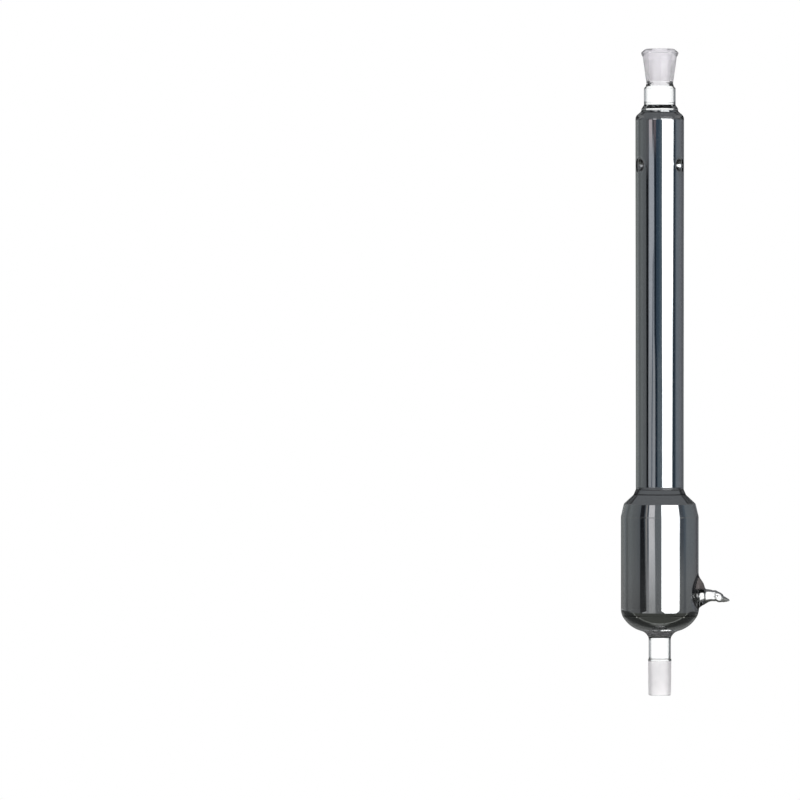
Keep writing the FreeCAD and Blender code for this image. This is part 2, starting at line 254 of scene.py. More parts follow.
class Shell:
    """Collects closed shells into one mesh. Faces point out of the glass."""

    def __init__(self):
        self.verts, self.faces, self.material_ids = [], [], []

    def add_ring(self, loop, segs=JACKET_SEGS, warp=wobble, pick=None):
        """Revolves a closed loop that runs down the outside and up the inside."""
        base = len(self.verts)
        for r, z in loop:
            for j in range(segs):
                a = 2 * math.pi * j / segs + math.pi / 2
                point = (r * math.cos(a), r * math.sin(a), z)
                self.verts.append(warp(point) if warp else point)
        for i in range(len(loop)):
            i2 = (i + 1) % len(loop)
            self.faces += ring_faces(base + i * segs, base + i2 * segs, segs)
            self.material_ids += [pick(loop[i], loop[i2]) if pick else 0] * segs

    def add_mesh(self, verts, faces):
        base = len(self.verts)
        self.verts += verts
        self.faces += [tuple(base + i for i in face) for face in faces]
        self.material_ids += [0] * len(faces)

    def build(self, name, materials, sharp=38.0):
        make_object(name, self.verts, self.faces, materials, sharp, self.material_ids)


def revolve(name, loop, materials, **ring):
    shell = Shell()
    shell.add_ring(loop, **ring)
    shell.build(name, materials)


# ------------------------------------------------------------------ node helpers


def fresh_tree(owner):
    owner.use_nodes = True
    tree = owner.node_tree
    for node in list(tree.nodes):
        tree.nodes.remove(node)
    return tree


def noise_node(tree, scale, detail=3.0, rough=0.5, stretch=(1, 1, 1), seed=(0, 0, 0)):
    coords = tree.nodes.new("ShaderNodeTexCoord")
    mapping = tree.nodes.new("ShaderNodeMapping")
    mapping.inputs["Scale"].default_value = stretch
    mapping.inputs["Location"].default_value = seed
    node = tree.nodes.new("ShaderNodeTexNoise")
    node.inputs["Scale"].default_value = scale
    node.inputs["Detail"].default_value = detail
    node.inputs["Roughness"].default_value = rough
    tree.links.new(coords.outputs["Object"], mapping.inputs["Vector"])
    tree.links.new(mapping.outputs[0], node.inputs["Vector"])
    return node.outputs["Fac"]


def axes(tree, coordinates="Object"):
    coords = tree.nodes.new("ShaderNodeTexCoord")
    split = tree.nodes.new("ShaderNodeSeparateXYZ")
    tree.links.new(coords.outputs[coordinates], split.inputs[0])
    return split.outputs


def remap(tree, source, span, result=(0.0, 1.0), smooth=False):
    """Carries the values of span over to result."""
    node = tree.nodes.new("ShaderNodeMapRange")
    if smooth:
        node.interpolation_type = "SMOOTHSTEP"
    node.inputs["From Min"].default_value = span[0]
    node.inputs["From Max"].default_value = span[1]
    node.inputs["To Min"].default_value = result[0]
    node.inputs["To Max"].default_value = result[1]
    tree.links.new(source, node.inputs["Value"])
    return node.outputs[0]


def ramp(tree, source, stops):
    """A colour ramp with stops of (position, colour)."""
    node = tree.nodes.new("ShaderNodeValToRGB")
    elements = node.color_ramp.elements
    while len(elements) < len(stops):
        elements.new(0.5)
    for element, (position, color) in zip(elements, stops):
        element.position = position
        element.color = (*color, 1.0)
    tree.links.new(source, node.inputs["Fac"])
    return node.outputs["Color"]


def bump(tree, height, strength, distance, normal=None):
    node = tree.nodes.new("ShaderNodeBump")
    node.inputs["Strength"].default_value = strength
    node.inputs["Distance"].default_value = distance
    tree.links.new(height, node.inputs["Height"])
    if normal is not None:
        tree.links.new(normal, node.inputs["Normal"])
    return node.outputs[0]


def feed(tree, socket, value):
    """Links a socket, or sets it to a number or colour."""
    if isinstance(value, tuple):
        socket.default_value = (*value, 1.0)
    elif isinstance(value, (int, float)):
        socket.default_value = value
    else:
        tree.links.new(value, socket)


def math_node(tree, operation, *values):
    node = tree.nodes.new("ShaderNodeMath")
    node.operation = operation
    for socket, value in zip(node.inputs, values):
        feed(tree, socket, value)
    return node.outputs[0]


def mix_color(tree, factor, a, b, blend="MIX"):
    node = tree.nodes.new("ShaderNodeMix")
    node.data_type = "RGBA"
    node.blend_type = blend
    for name, value in (("Factor", factor), ("A", a), ("B", b)):
        feed(tree, node.inputs[name], value)
    return node.outputs["Result"]


# ------------------------------------------------------------------ materials
GLASS_IOR = 1.473
CLEAR = (0.985, 0.99, 0.988)


def principled(name):
    material = bpy.data.materials.new(name)
    tree = fresh_tree(material)
    out = tree.nodes.new("ShaderNodeOutputMaterial")
    bsdf = tree.nodes.new("ShaderNodeBsdfPrincipled")
    tree.links.new(bsdf.outputs[0], out.inputs[0])
    return material, tree, bsdf


def glass(name, transmission=0.0):
    material, tree, bsdf = principled(name)
    bsdf.inputs["Transmission Weight"].default_value = transmission
    bsdf.inputs["IOR"].default_value = GLASS_IOR
    return material, tree, bsdf


def drive(bsdf, name, source):
    bsdf.id_data.links.new(source, bsdf.inputs[name])


def driver_of(bsdf, name):
    return bsdf.inputs[name].links[0].from_socket


def add_striations(tree, bsdf):
    """Faint lines drawn along the tube."""
    lines = noise_node(tree, scale=240.0, detail=2.0, rough=0.45, stretch=(1, 1, 0.04))
    drive(bsdf, "Normal", bump(tree, lines, strength=0.12, distance=0.00006))


def clear_parts(name):
    """Flame-worked borosilicate: clear, with drawn striations and a faint dust haze."""
    material, tree, bsdf = glass(name, transmission=1.0)
    tone = noise_node(tree, scale=26.0, detail=2.0, stretch=(1, 1, 0.35))
    darker = (CLEAR[0] - 0.012, CLEAR[1] - 0.006, CLEAR[2] - 0.004)
    drive(bsdf, "Base Color", ramp(tree, tone, [(0.3, CLEAR), (0.75, darker)]))
    dust = noise_node(tree, scale=420.0, detail=4.0, rough=0.6)
    drive(bsdf, "Roughness", remap(tree, dust, (0.55, 0.8), (0.0, 0.035)))
    add_striations(tree, bsdf)
    return material, tree, bsdf


def clear_glass(name):
    return clear_parts(name)[0]


def jacket_glass(name):
    """Clear glass, with painted shade: a brown-grey darkening on the upper side of the pulled flare.
    """
    material, tree, bsdf = clear_parts(name)
    x, y, z = axes(tree)
    square = math_node(
        tree, "ADD", math_node(tree, "MULTIPLY", x, x), math_node(tree, "MULTIPLY", y, y)
    )
    far = math_node(tree, "SQRT", square)
    patch = noise_node(tree, scale=210.0, rough=0.6)
    ragged_z = math_node(tree, "MULTIPLY_ADD", patch, 0.0016, z)
    # painted shade on the flare's upper side: outside the wide wall's radius and above the arm's
    # axis, in metres
    flare_shade = math_node(
        tree, "MULTIPLY", remap(tree, far, (0.04005, 0.0407)), remap(tree, ragged_z, (0.1085, 0.1115))
    )
    # the dark brown-grey tone of the painted shade
    tone = ramp(tree, patch, [(0.35, (0.085, 0.076, 0.072)), (0.70, (0.165, 0.150, 0.143))])
    shade = remap(tree, flare_shade, (0.0, 0.30))
    drive(bsdf, "Base Color", mix_color(tree, shade, driver_of(bsdf, "Base Color"), tone))
    drive(bsdf, "Transmission Weight", remap(tree, flare_shade, (0.25, 1.0), (1.0, 0.25)))
    rough = math_node(tree, "MULTIPLY_ADD", flare_shade, 0.16, driver_of(bsdf, "Roughness"))
    drive(bsdf, "Roughness", rough)
    return material


def tip_glass(name):
    """Clear glass whose solid drawn-off end carries painted shade, mottled dark to pale."""
    material, tree, bsdf = glass(name, transmission=1.0)
    x = axes(tree)[0]
    curl = noise_node(tree, scale=330.0, rough=0.6, stretch=(0.6, 1, 1.6), seed=(4.0, 0, 0))
    ragged_x = math_node(tree, "MULTIPLY_ADD", curl, 0.0022, x)
    # painted shade beyond the end of the bore, with a ragged edge
    tip_shade = remap(tree, ragged_x, (0.0646, 0.0655))
    tone = ramp(
        tree, curl,
        [(0.40, (0.05, 0.052, 0.05)), (0.56, (0.25, 0.255, 0.25)), (0.66, (0.85, 0.85, 0.84))],
    )
    drive(bsdf, "Base Color", mix_color(tree, tip_shade, CLEAR, tone))
    drive(bsdf, "Roughness", remap(tree, tip_shade, (0.0, 1.0), (0.0, 0.08)))
    return material


def worked_glass(name):
    """Clear glass clouded a little by the flame, where the walls are fused together."""
    material, tree, bsdf = glass(name)
    cord = noise_node(tree, scale=260.0, detail=4.0, rough=0.6, stretch=(0.5, 0.5, 2.2))
    tone = ramp(tree, cord, [(0.35, (0.62, 0.62, 0.63)), (0.68, (0.93, 0.93, 0.93))])
    drive(bsdf, "Base Color", tone)
    drive(bsdf, "Transmission Weight", remap(tree, cord, (0.35, 0.7), (0.93, 0.84)))
    drive(bsdf, "Roughness", remap(tree, cord, (0.35, 0.7), (0.02, 0.12)))
    drive(bsdf, "Normal", bump(tree, cord, strength=0.25, distance=0.0004))
    return material


def hazy_glass(name):
    """Fire-polished rim: clear glass under a thin haze of scratches and dried marks."""
    material, tree, bsdf = glass(name, transmission=0.80)
    marks = noise_node(tree, scale=190.0, detail=4.0, rough=0.6, stretch=(1, 1, 0.5))
    tone = ramp(tree, marks, [(0.35, (0.94, 0.93, 0.95)), (0.7, (0.985, 0.98, 0.99))])
    drive(bsdf, "Base Color", tone)
    drive(bsdf, "Roughness", remap(tree, marks, (0.35, 0.7), (0.05, 0.16)))
    add_striations(tree, bsdf)
    return material


def ground_glass(name, low_tone, high_tone):
    """Ground joint face: fine grinding bites, which scatter a share of the light."""
    material, tree, bsdf = glass(name, transmission=0.58)
    cloud = noise_node(tree, scale=55.0, detail=4.0, rough=0.55)
    drive(bsdf, "Base Color", ramp(tree, cloud, [(0.38, low_tone), (0.60, high_tone)]))
    grit = noise_node(tree, scale=2600.0, detail=2.0, rough=0.6)
    scuff = noise_node(tree, scale=300.0, rough=0.6, stretch=(1, 1, 4.0))
    drive(bsdf, "Roughness", remap(tree, scuff, (0.35, 0.65), (0.42, 0.60)))
    scuffed = bump(tree, scuff, strength=0.25, distance=0.0001)
    drive(bsdf, "Normal", bump(tree, grit, strength=0.35, distance=0.00008, normal=scuffed))
    return material


def silver(name):
    """Deposited silver seen through glass: bright and blotchy, worn and duller round the arm's mouth,
    and darker towards the foot.
    """
    base = (0.80, 0.815, 0.83)
    cloudy = (base[0] * 0.93, base[1] * 0.94, base[2] * 0.95)
    white = (1, 1, 1)
    dull = (0.86, 0.85, 0.84)
    material, tree, bsdf = principled(name)
    bsdf.inputs["Metallic"].default_value = 1.0
    blotch = noise_node(tree, scale=38.0, detail=5.0, rough=0.6, stretch=(1, 1, 0.5))
    speck = noise_node(tree, scale=900.0, detail=2.0)
    blotches = ramp(tree, blotch, [(0.30, cloudy), (0.62, base)])
    specks = ramp(tree, speck, [(0.0, white), (0.66, white), (0.74, (0.78, 0.79, 0.80))])
    color = mix_color(tree, 1.0, blotches, specks, blend="MULTIPLY")
    # worn round the arm's mouth, and darker towards the foot; places in metres
    x, _, z = axes(tree)
    arm_side = remap(tree, x, (0.0375, 0.0400))
    foot = remap(tree, z, (0.118, 0.090))
    crumbs = noise_node(tree, scale=620.0, rough=0.65)
    dulled_tone = ramp(tree, crumbs, [(0.0, dull), (0.50, dull), (0.66, (0.60, 0.59, 0.58))])
    dulling = math_node(tree, "MAXIMUM", math_node(tree, "MULTIPLY", foot, 0.75), arm_side)
    drive(bsdf, "Base Color", mix_color(tree, dulling, color, dulled_tone, blend="MULTIPLY"))
    rough = remap(tree, blotch, (0.35, 0.75), (0.015, 0.06))
    drive(bsdf, "Roughness", math_node(tree, "MULTIPLY_ADD", arm_side, 0.42, rough))
    swell = noise_node(tree, scale=60.0, detail=1.0, stretch=(1, 1, 0.2))
    drive(bsdf, "Normal", bump(tree, swell, strength=0.10, distance=0.0006))
    return material


GLASS = clear_glass("clear_glass")
GROUND = ground_glass(
    "ground_glass", low_tone=(0.93, 0.90, 0.925), high_tone=(0.985, 0.96, 0.985)
)
GROUND_CONE = ground_glass(
    "ground_glass_cone", low_tone=(0.885, 0.875, 0.87), high_tone=(0.975, 0.955, 0.95)
)
RIM_GLASS = hazy_glass("hazy_rim_glass")
SEAL_GLASS = worked_glass("fused_seal_glass")
JACKET_GLASS = jacket_glass("jacket_glass")
TIP_GLASS = tip_glass("drawn_tip_glass")
SILVER = silver("silver_film")
SILVER_IN = silver("silver_film_inner")

# ------------------------------------------------------------------ top socket
TOTAL_H = 665.0
RIM_R = 19.3
JOINT_R, JOINT_LEN = 24.0 / 2, 29.0                # widest bore and length of the ground socket
SOCKET_TOP_Z = TOTAL_H - 4.0
SOCKET_BOT_Z = SOCKET_TOP_Z - JOINT_LEN
SOCKET_BOT_R = JOINT_R - 0.05 * JOINT_LEN          # the bore narrows 1 in 10 on the diameter
SOCKET_STEP_Z = 630.6                              # where the bore starts to open into the neck
WAIST_R, WAIST_Z = 13.65, 629.8
FLARE_R, FLARE_Z = 14.4, 626.6
NECK_R = 16.3
NECK_IN = NECK_R - WALL
NECK_TOP_Z, NECK_FLARE_Z, NECK_BOT_Z = 628.4, 624.6, 609.6
NECK_SEAM_OUT = WAIST_R + (WAIST_Z - NECK_TOP_Z) / (WAIST_Z - FLARE_Z) * (FLARE_R - WAIST_R)
NECK_SEAM_IN = SOCKET_BOT_R + (SOCKET_STEP_Z - NECK_TOP_Z) / (SOCKET_STEP_Z - NECK_FLARE_Z) * (
    NECK_IN - SOCKET_BOT_R
)


def socket_material(a, b):
    """1 on the ground bore, 2 on the rim, 0 elsewhere."""
    inner = a[0] < 12.25 and b[0] < 12.25
    if inner and min(a[1], b[1]) > 631.5 and max(a[1], b[1]) < 661.2:
        return 1
    return 2 if max(a[1], b[1]) > 655.0 else 0


socket_loop = rounded(
    [
        (14.9, TOTAL_H), (RIM_R, TOTAL_H - 3.7), (18.7, TOTAL_H - 6.0), (17.55, TOTAL_H - 7.8),
        (WAIST_R, WAIST_Z), (NECK_SEAM_OUT, NECK_TOP_Z + GAP), (NECK_SEAM_IN, NECK_TOP_Z + GAP),
        (SOCKET_BOT_R, SOCKET_STEP_Z), (SOCKET_BOT_R, SOCKET_BOT_Z), (JOINT_R, SOCKET_TOP_Z),
        (13.0, TOTAL_H),
    ],
    [1.2, 1.1, 1.2, 2.2, 0.7, 0.05, 0.05, 1.0, 0.2, 1.5, 0.6],
    close=True,
)
revolve(
    "top_socket", refine(socket_loop, 1.6, close=True), [GLASS, GROUND, RIM_GLASS],
    pick=socket_material,
)

# ------------------------------------------------------------------ neck
neck_loop = rounded(
    [
        (NECK_SEAM_OUT, NECK_TOP_Z - GAP), (FLARE_R, FLARE_Z), (NECK_R, NECK_FLARE_Z),
        (NECK_R, NECK_BOT_Z + GAP), (NECK_IN, NECK_BOT_Z + GAP), (NECK_IN, NECK_FLARE_Z),
        (NECK_SEAM_IN, NECK_TOP_Z - GAP),
    ],
    [0.05, 1.8, 1.5, 0.06, 0.06, 2.0, 0.05],
    close=True,
)
revolve("neck_tube", refine(neck_loop, 1.5, close=True), [GLASS])

# ------------------------------------------------------------------ top ring seal
SLIM_R, WIDE_R = 25.0, 40.0          # outside of the slim and the wide jacket
JACKET_SEAM_Z = 214.0                # between them
HEAD_TOP_Z = 598.0                   # where the inner tube starts
RING_TOP_Z = 604.8
SHOULDER_OUT = (20.0, 600.0)
SLIM_OUTER = ([SHOULDER_OUT, (SLIM_R, 595.94), (SLIM_R, JACKET_SEAM_Z)], [0, 10.0, 0])
SHOULDER_IN = offset(*SLIM_OUTER, WALL)[0][0]
across_wall = unit(SHOULDER_OUT, SHOULDER_IN)
up_wall = (across_wall[1], -across_wall[0])

top_seal_loop = rounded(
    [
        (NECK_R, NECK_BOT_Z - GAP), (NECK_R, 607.4), (18.95, 603.4), (18.95, 601.3),
        moved(SHOULDER_OUT, up_wall, GAP), moved(SHOULDER_IN, up_wall, GAP),
        (NECK_R, RING_TOP_Z), (NECK_R, HEAD_TOP_Z + GAP), (NECK_IN, HEAD_TOP_Z + GAP),
        (NECK_IN, NECK_BOT_Z - GAP),
    ],
    [0.06, 1.0, 0.9, 0.5, 0.08, 0.08, 0.8, 0.3, 0.3, 0.06],
    close=True,
)
revolve("top_ring_seal", refine(top_seal_loop, 1.2, close=True), [GLASS])

# ------------------------------------------------------------------ slim jacket, with dimples
SLIM_INNER = ([SHOULDER_IN, (SLIM_R - WALL, 593.0), (SLIM_R - WALL, JACKET_SEAM_Z)], [0, 4.0, 0])
DIMPLE_Z = 545.0
DIMPLE_R, DIMPLE_DEPTH = 7.4, 5.6
DIMPLE_MARGIN = 2                    # how far outside its radius a dimple still has effect
DIMPLE_BEARINGS = [math.radians(a) for a in (-150.0, -30.0, 90.0)]


def smoother(t):
    t = max(0.0, min(1.0, t))
    return t * t * t * (t * (6 * t - 15) + 10)


def dimpled(point):
    x, y, z = wobble(point)
    dz = z - DIMPLE_Z
    if abs(dz) >= DIMPLE_R + DIMPLE_MARGIN:
        return (x, y, z)
    for bearing in DIMPLE_BEARINGS:
        ux, uy = math.cos(bearing), math.sin(bearing)
        if x * ux + y * uy <= 5:
            continue
        sideways = -x * uy + y * ux
        away = math.hypot(sideways, dz * 0.96)
        if away < DIMPLE_R + DIMPLE_MARGIN:
            sink = DIMPLE_DEPTH * max(0.0, 1 - (away / DIMPLE_R) ** 2) ** 2
            # a slightly raised lip where the hot wall was pushed in
            lip = 0.05 * math.exp(-((away - DIMPLE_R + 0.2) / 1.3) ** 2)
            x += ux * (lip - sink)
            y += uy * (lip - sink)
    return (x, y, z)


def slim_pitch(z):
    """Longest side at a height: fine at the dimples and the shoulder."""
    if abs(z - DIMPLE_Z) < 13:
        return 0.75
    return 1.2 if z > 585 else 7.0


def slim_loop(outer, inner, end_r=0.06, gap=GAP):
    """Closed loop between two profiles, with its ends eased."""
    points = trim_ends(outer[0], gap) + trim_ends(inner[0], gap)[::-1]
    radii = [end_r, *outer[1][1:-1], end_r, end_r, *inner[1][-2:0:-1], end_r]
    return refine(rounded(points, radii, step=4.0, close=True), slim_pitch, close=True)


revolve(
    "jacket_tube", slim_loop(with_mid(SLIM_OUTER), with_mid(SLIM_INNER)), [GLASS], warp=dimpled
)

# ------------------------------------------------------------------ wide jacket, with flare
DOME_TURN, DOME_END = (32.9, 70.9), (20.9, 66.75)
WIDE_OUTER = (
    [
        (SLIM_R, JACKET_SEAM_Z), (SLIM_R, 211.8), (27.3, 206.2), (36.9, 197.05),
        (WIDE_R, 184.0), (WIDE_R, 84.4), DOME_TURN, DOME_END,
    ],
    [0, 2.6, 3.0, 2.4, 12.0, 18.0, 31.0, 0],
)
# inside, the slim tube's bore opens with a sharper turn than the outside shows
moved_points, moved_radii = offset(*WIDE_OUTER, WALL)
DOME_CUT_IN = moved_points[-1]
WIDE_INNER = (
    [moved_points[0], (SLIM_R - WALL, 213.8), (23.62, 211.6), (26.1, 206.7)] + moved_points[3:],
    [0, 0.3, 0.8, 0.8, moved_radii[3], 0.6] + moved_radii[5:],
)

ARM_Z = 102.5
FLARE_REACH = 6.0                    # how far the flare stands out from the wall
ARM_SEAM_X = WIDE_R + FLARE_REACH
HOLE_PARAM = 4.4       # distance from the arm's axis, on the unwarped wall, of the mouth's edge
FLARE_PARAM = 23.5     # the same distance, where the flare has died away
COLLAR_PARAM = 10.0    # the same distance, where the inner wall starts to turn out
MOUTH_BORE = 4.3       # radius of the turned-out collar inside
COLLAR_DEPTH = 1.9

# flare silhouettes, rim to mouth: (distance out from the wall, radius from the arm's axis)
FLARE_TOP = [
    (0.0, 23.5), (0.2, 21.6), (0.9, 19.6), (1.8, 17.8), (2.8, 16.2), (3.8, 14.8),
    (4.7, 13.4), (5.3, 12.2), (5.75, 11.1), (FLARE_REACH, 10.0),
]
FLARE_BOTTOM = [
    (0.0, 19.0), (0.1, 17.0), (0.2, 15.2), (0.4, 13.6), (0.9, 12.5), (1.8, 11.7),
    (2.8, 10.9), (3.9, 10.2), (5.0, 9.6), (FLARE_REACH, 9.2),
]


def upness(phi):
    """1 at the top of the arm, 0 at its bottom."""
    return 0.5 + 0.5 * math.sin(phi)


def mouth_radius(phi, inside):
    up = upness(phi)
    top, bottom = (MOUTH_BORE, 2.1) if inside else (FLARE_TOP[-1][1], FLARE_BOTTOM[-1][1])
    return top * up + bottom * (1 - up)


def spline_point(points, i, share):
    """Catmull-Rom between points i and i + 1."""
    p1, p2 = points[i], points[i + 1]
    p0 = points[i - 1] if i > 0 else tuple(2 * a - b for a, b in zip(p1, p2))
    p3 = points[i + 2] if i + 2 < len(points) else tuple(2 * b - a for a, b in zip(p1, p2))
    return tuple(
        0.5 * (
            2 * b + (c - a) * share
            + (2 * a - 5 * b + 4 * c - d) * share * share
            + (-a + 3 * b - 3 * c + d) * share ** 3
        )
        for a, b, c, d in zip(p0, p1, p2, p3)
    )


def smooth_at(points, share):
    """A point of the spline, evenly in share."""
    place = share * (len(points) - 1)
    i = min(int(place), len(points) - 2)
    return spline_point(points, i, place - i)


def radius_lookup(line):
    """The radius of a line at a height."""
    def radius_at(z):
        held = max(min(z, line[0][1]), line[-1][1])
        for a, b in zip(line, line[1:]):
            if a[1] >= held >= b[1] and a[1] - b[1] > 1e-9:
                return a[0] + (b[0] - a[0]) * ((a[1] - held) / (a[1] - b[1]))
        return line[-1][0]
    return radius_at


def wall_x(radius_at, y, z):
    r = radius_at(z)
    return math.sqrt(max(1.0, r * r - y * y))


def collar_warp(point, depth, radius_at):
    """Moves a point of the inner wall onto the arm's mouth: a short turned-out collar."""
    x, y, z = point
    dz = z - ARM_Z
    rho = math.hypot(y, dz)
    if x <= 0 or rho >= COLLAR_PARAM:
        return wobble(point)
    phi = math.atan2(dz, y)
    quarter = math.radians(90.0)
    turn = min(quarter * (COLLAR_PARAM - rho) / (COLLAR_PARAM - HOLE_PARAM), quarter)
    r = MOUTH_BORE - (depth - WALL) + (COLLAR_PARAM - MOUTH_BORE) * (1 - math.sin(turn))
    y, z = r * math.cos(phi), ARM_Z + r * math.sin(phi)
    return (wall_x(radius_at, y, z) + COLLAR_DEPTH * (1 - math.cos(turn)), y, z)


def flare_warp(point, radius_at):
    """Moves a point of the outer wall onto the pulled flare."""
    x, y, z = point
    dz = z - ARM_Z
    rho = math.hypot(y, dz)
    if x <= 0 or rho >= FLARE_PARAM:
        return wobble(point)
    phi = math.atan2(dz, y)
    up = upness(phi)
    share = min(1.0, (FLARE_PARAM - rho) / (FLARE_PARAM - HOLE_PARAM))   # 0 at the rim
    top_out, top_r = smooth_at(FLARE_TOP, share)
    bottom_out, bottom_r = smooth_at(FLARE_BOTTOM, share)
    out = top_out * up + bottom_out * (1 - up)
    r = top_r * up + bottom_r * (1 - up)
    # join the flare's own radius to the wall's grid at the rim
    k = smoother(share / 0.35)
    r = max(rho * (1 - k) + r * k, mouth_radius(phi, inside=False))
    y, z = r * math.cos(phi), ARM_Z + r * math.sin(phi)
    # near the mouth every side reaches the same plane
    flat = smoother((share - 0.45) / 0.5)
    goal = ARM_SEAM_X - GAP - (FLARE_REACH - out)
    return ((wall_x(radius_at, y, z) + out) * (1 - flat) + goal * flat, y, z)


def run_lengths(line):
    total = [0.0]
    for a, b in zip(line, line[1:]):
        total.append(total[-1] + math.dist(a, b))
    return total


def at_share(line, lengths, share):
    """The point at a share of the way along a line."""
    want = share * lengths[-1]
    for i in range(len(line) - 1):
        if lengths[i + 1] >= want - 1e-9:
            part = (want - lengths[i]) / max(1e-9, lengths[i + 1] - lengths[i])
            return lerp(line[i], line[i + 1], max(0.0, min(1.0, part)))
    return line[-1]


def wide_rows(sides, gap):
    """Two lists of (r, z), top to bottom, matched row for row. A side is (profile, offset)."""
    uppers, lowers = [], []
    for profile, shift in sides:
        points, radii = offset(*with_mid(profile), shift)
        points = trim_ends(points, gap)
        # split half way along the slope that leads out to the wide wall
        turn = next(i for i, point in enumerate(points) if point[0] > 30)
        a, b = points[turn - 1], points[turn]
        middle = ((a[0] + b[0]) / 2, (a[1] + b[1]) / 2)
        uppers.append(rounded(points[:turn] + [middle], radii[:turn] + [0], step=3.0))
        lowers.append(rounded([middle] + points[turn:], [0] + radii[turn:], step=3.0))

    # upper part: rows at the corners of both lines, matched by their share of the way down
    lengths = [run_lengths(line) for line in uppers]
    corners = {round(x / run[-1], 5) for run in lengths for x in run}
    shares = [0.0]
    for share in sorted(corners | {k / 30 for k in range(31)}):
        if share > 0 and (share - shares[-1] > 0.004 or share == 1.0):
            shares.append(share)
    rows = [
        [at_share(line, run, share) for share in shares[:-1]]
        for line, run in zip(uppers, lengths)
    ]

    # lower part: rows set out on the outer line, finer round the arm
    outer = lowers[0]
    outer_run = run_lengths(outer)
    stations = []
    for i, (a, b) in enumerate(zip(outer, outer[1:])):
        pitch = 0.8 if min(a[1], b[1]) < 132 and max(a[1], b[1]) > 74 else 5.0
        count = max(1, math.ceil((outer_run[i + 1] - outer_run[i]) / pitch))
        stations += [(i, j / count) for j in range(count)]
    stations.append((len(outer) - 2, 1.0))
    # with equal point counts a row is the same place on both lines, else the same share
    same = len(lowers[0]) == len(lowers[1])
    for side, line in zip(rows, lowers):
        if same:
            side += [lerp(line[i], line[i + 1], part) for i, part in stations]
        else:
            run = run_lengths(line)
            for i, part in stations:
                along = outer_run[i] + (outer_run[i + 1] - outer_run[i]) * part
                side.append(at_share(line, run, along / outer_run[-1]))
    return rows


def wide_point(row, j):
    r, z = row
    a = 2 * math.pi * (j + 0.5) / BULB_SEGS + math.pi / 2
    return (r * math.cos(a), r * math.sin(a), z)


def wide_shell(sides, depths, gap, film_edge_x=None):
    """The wide jacket as a closed shell with a hole for the arm. Returns verts and faces.

    depths tells how far each side lies inside the outer surface. A film's hole ends at
    film_edge_x, the glass's at the arm's seam.
    """
    segs = BULB_SEGS
    rows = wide_rows(sides, gap)
    row_count = len(rows[0])

    def quad_keys(i, j):
        j2 = (j + 1) % segs
        return ((i, j), (i + 1, j), (i + 1, j2), (i, j2))

    # which points lie in the hole is decided on the outer side
    hole = set()
    for i in range(row_count):
        for j in range(segs):
            x, y, z = wide_point(rows[0][i], j)
            if x > 0 and math.hypot(y, z - ARM_Z) < HOLE_PARAM:
                hole.add((i, j))
    open_quads = {
        (i, j) for i in range(row_count - 1) for j in range(segs)
        if not hole.isdisjoint(quad_keys(i, j))
    }
    hole_edge = {key for quad in open_quads for key in quad_keys(*quad)} - hole

    def edge_point(i, j, depth):
        _, y, z = wide_point(rows[0][i], j)
        phi = math.atan2(z - ARM_Z, y)
        if film_edge_x is None:
            x, r = ARM_SEAM_X - GAP, mouth_radius(phi, inside=depth > 0)
        else:
            x, r = film_edge_x, MOUTH_BORE - (depth - WALL)
        return (x, r * math.cos(phi), ARM_Z + r * math.sin(phi))

    verts = []
    for side, depth in zip(rows, depths):
        radius_at = radius_lookup(side)
        for i in range(row_count):
            for j in range(segs):
                point = wide_point(side[i], j)
                if (i, j) in hole_edge:
                    verts.append(edge_point(i, j, depth))
                elif depth:
                    verts.append(collar_warp(point, depth, radius_at))
                else:
                    verts.append(flare_warp(point, radius_at))

    m = row_count * segs                 # first vertex of the inner side
    faces = []
    for i in range(row_count - 1):
        for j in range(segs):
            if (i, j) not in open_quads:
                quad = tuple(row * segs + column for row, column in quad_keys(i, j))
                faces += [quad, tuple(m + k for k in quad[::-1])]
    bottom = (row_count - 1) * segs
    for j in range(segs):
        j2 = (j + 1) % segs
        faces.append((j, j2, m + j2, m + j))
        faces.append((bottom + j2, bottom + j, m + bottom + j, m + bottom + j2))
    # the arm's mouth: join the edges of the two holes
    edges = dict.fromkeys(edge for face in faces for edge in zip(face, face[1:] + face[:1]))
    for a, b in edges:
        if (b, a) not in edges and a < m and b < m:
            faces.append((b, a, a + m, b + m))

    used = sorted({k for face in faces for k in face})
    new_index = {k: n for n, k in enumerate(used)}
    return [verts[k] for k in used], [tuple(new_index[k] for k in face) for face in faces]


wide_verts, wide_faces = wide_shell(
    sides=[(WIDE_OUTER, 0.0), (WIDE_INNER, 0.0)], depths=(0.0, WALL), gap=GAP
)
make_object("jacket_bulb", wide_verts, wide_faces, [JACKET_GLASS], sharp=50.0)

# ------------------------------------------------------------------ bottom ring seal
STEM_R = 11.4
STEM_IN = STEM_R - WALL
STEM_TOP_R, STEM_TOP_Z = 12.8, 61.6
CONE_TOP_Z = 38.0
FOOT_Z = 72.0                        # lower end of the inner tube
DOME_SLOPE = (DOME_TURN[1] - DOME_END[1]) / (DOME_TURN[0] - DOME_END[0])
dome_dir = unit(DOME_TURN, DOME_END)


def dome_point(start, radius):
    """The point at a radius on the dome's slope through start."""
    return (radius, start[1] - DOME_SLOPE * (start[0] - radius))


bottom_seal_loop = rounded(
    [
        moved(DOME_END, dome_dir, GAP), dome_point(DOME_END, 15.6),
        (STEM_TOP_R, STEM_TOP_Z + GAP), (STEM_IN, STEM_TOP_Z + GAP), (STEM_IN, 66.0),
        (STEM_IN, FOOT_Z - GAP), (STEM_R, FOOT_Z - GAP), dome_point(DOME_CUT_IN, STEM_R),
        moved(DOME_CUT_IN, dome_dir, GAP),
    ],
    [0, 8.0, 0.1, 0.1, 0, 0.3, 0.3, 2.0, 0],
)
revolve("bottom_ring_seal", refine(bottom_seal_loop, 1.0, close=True), [SEAL_GLASS])

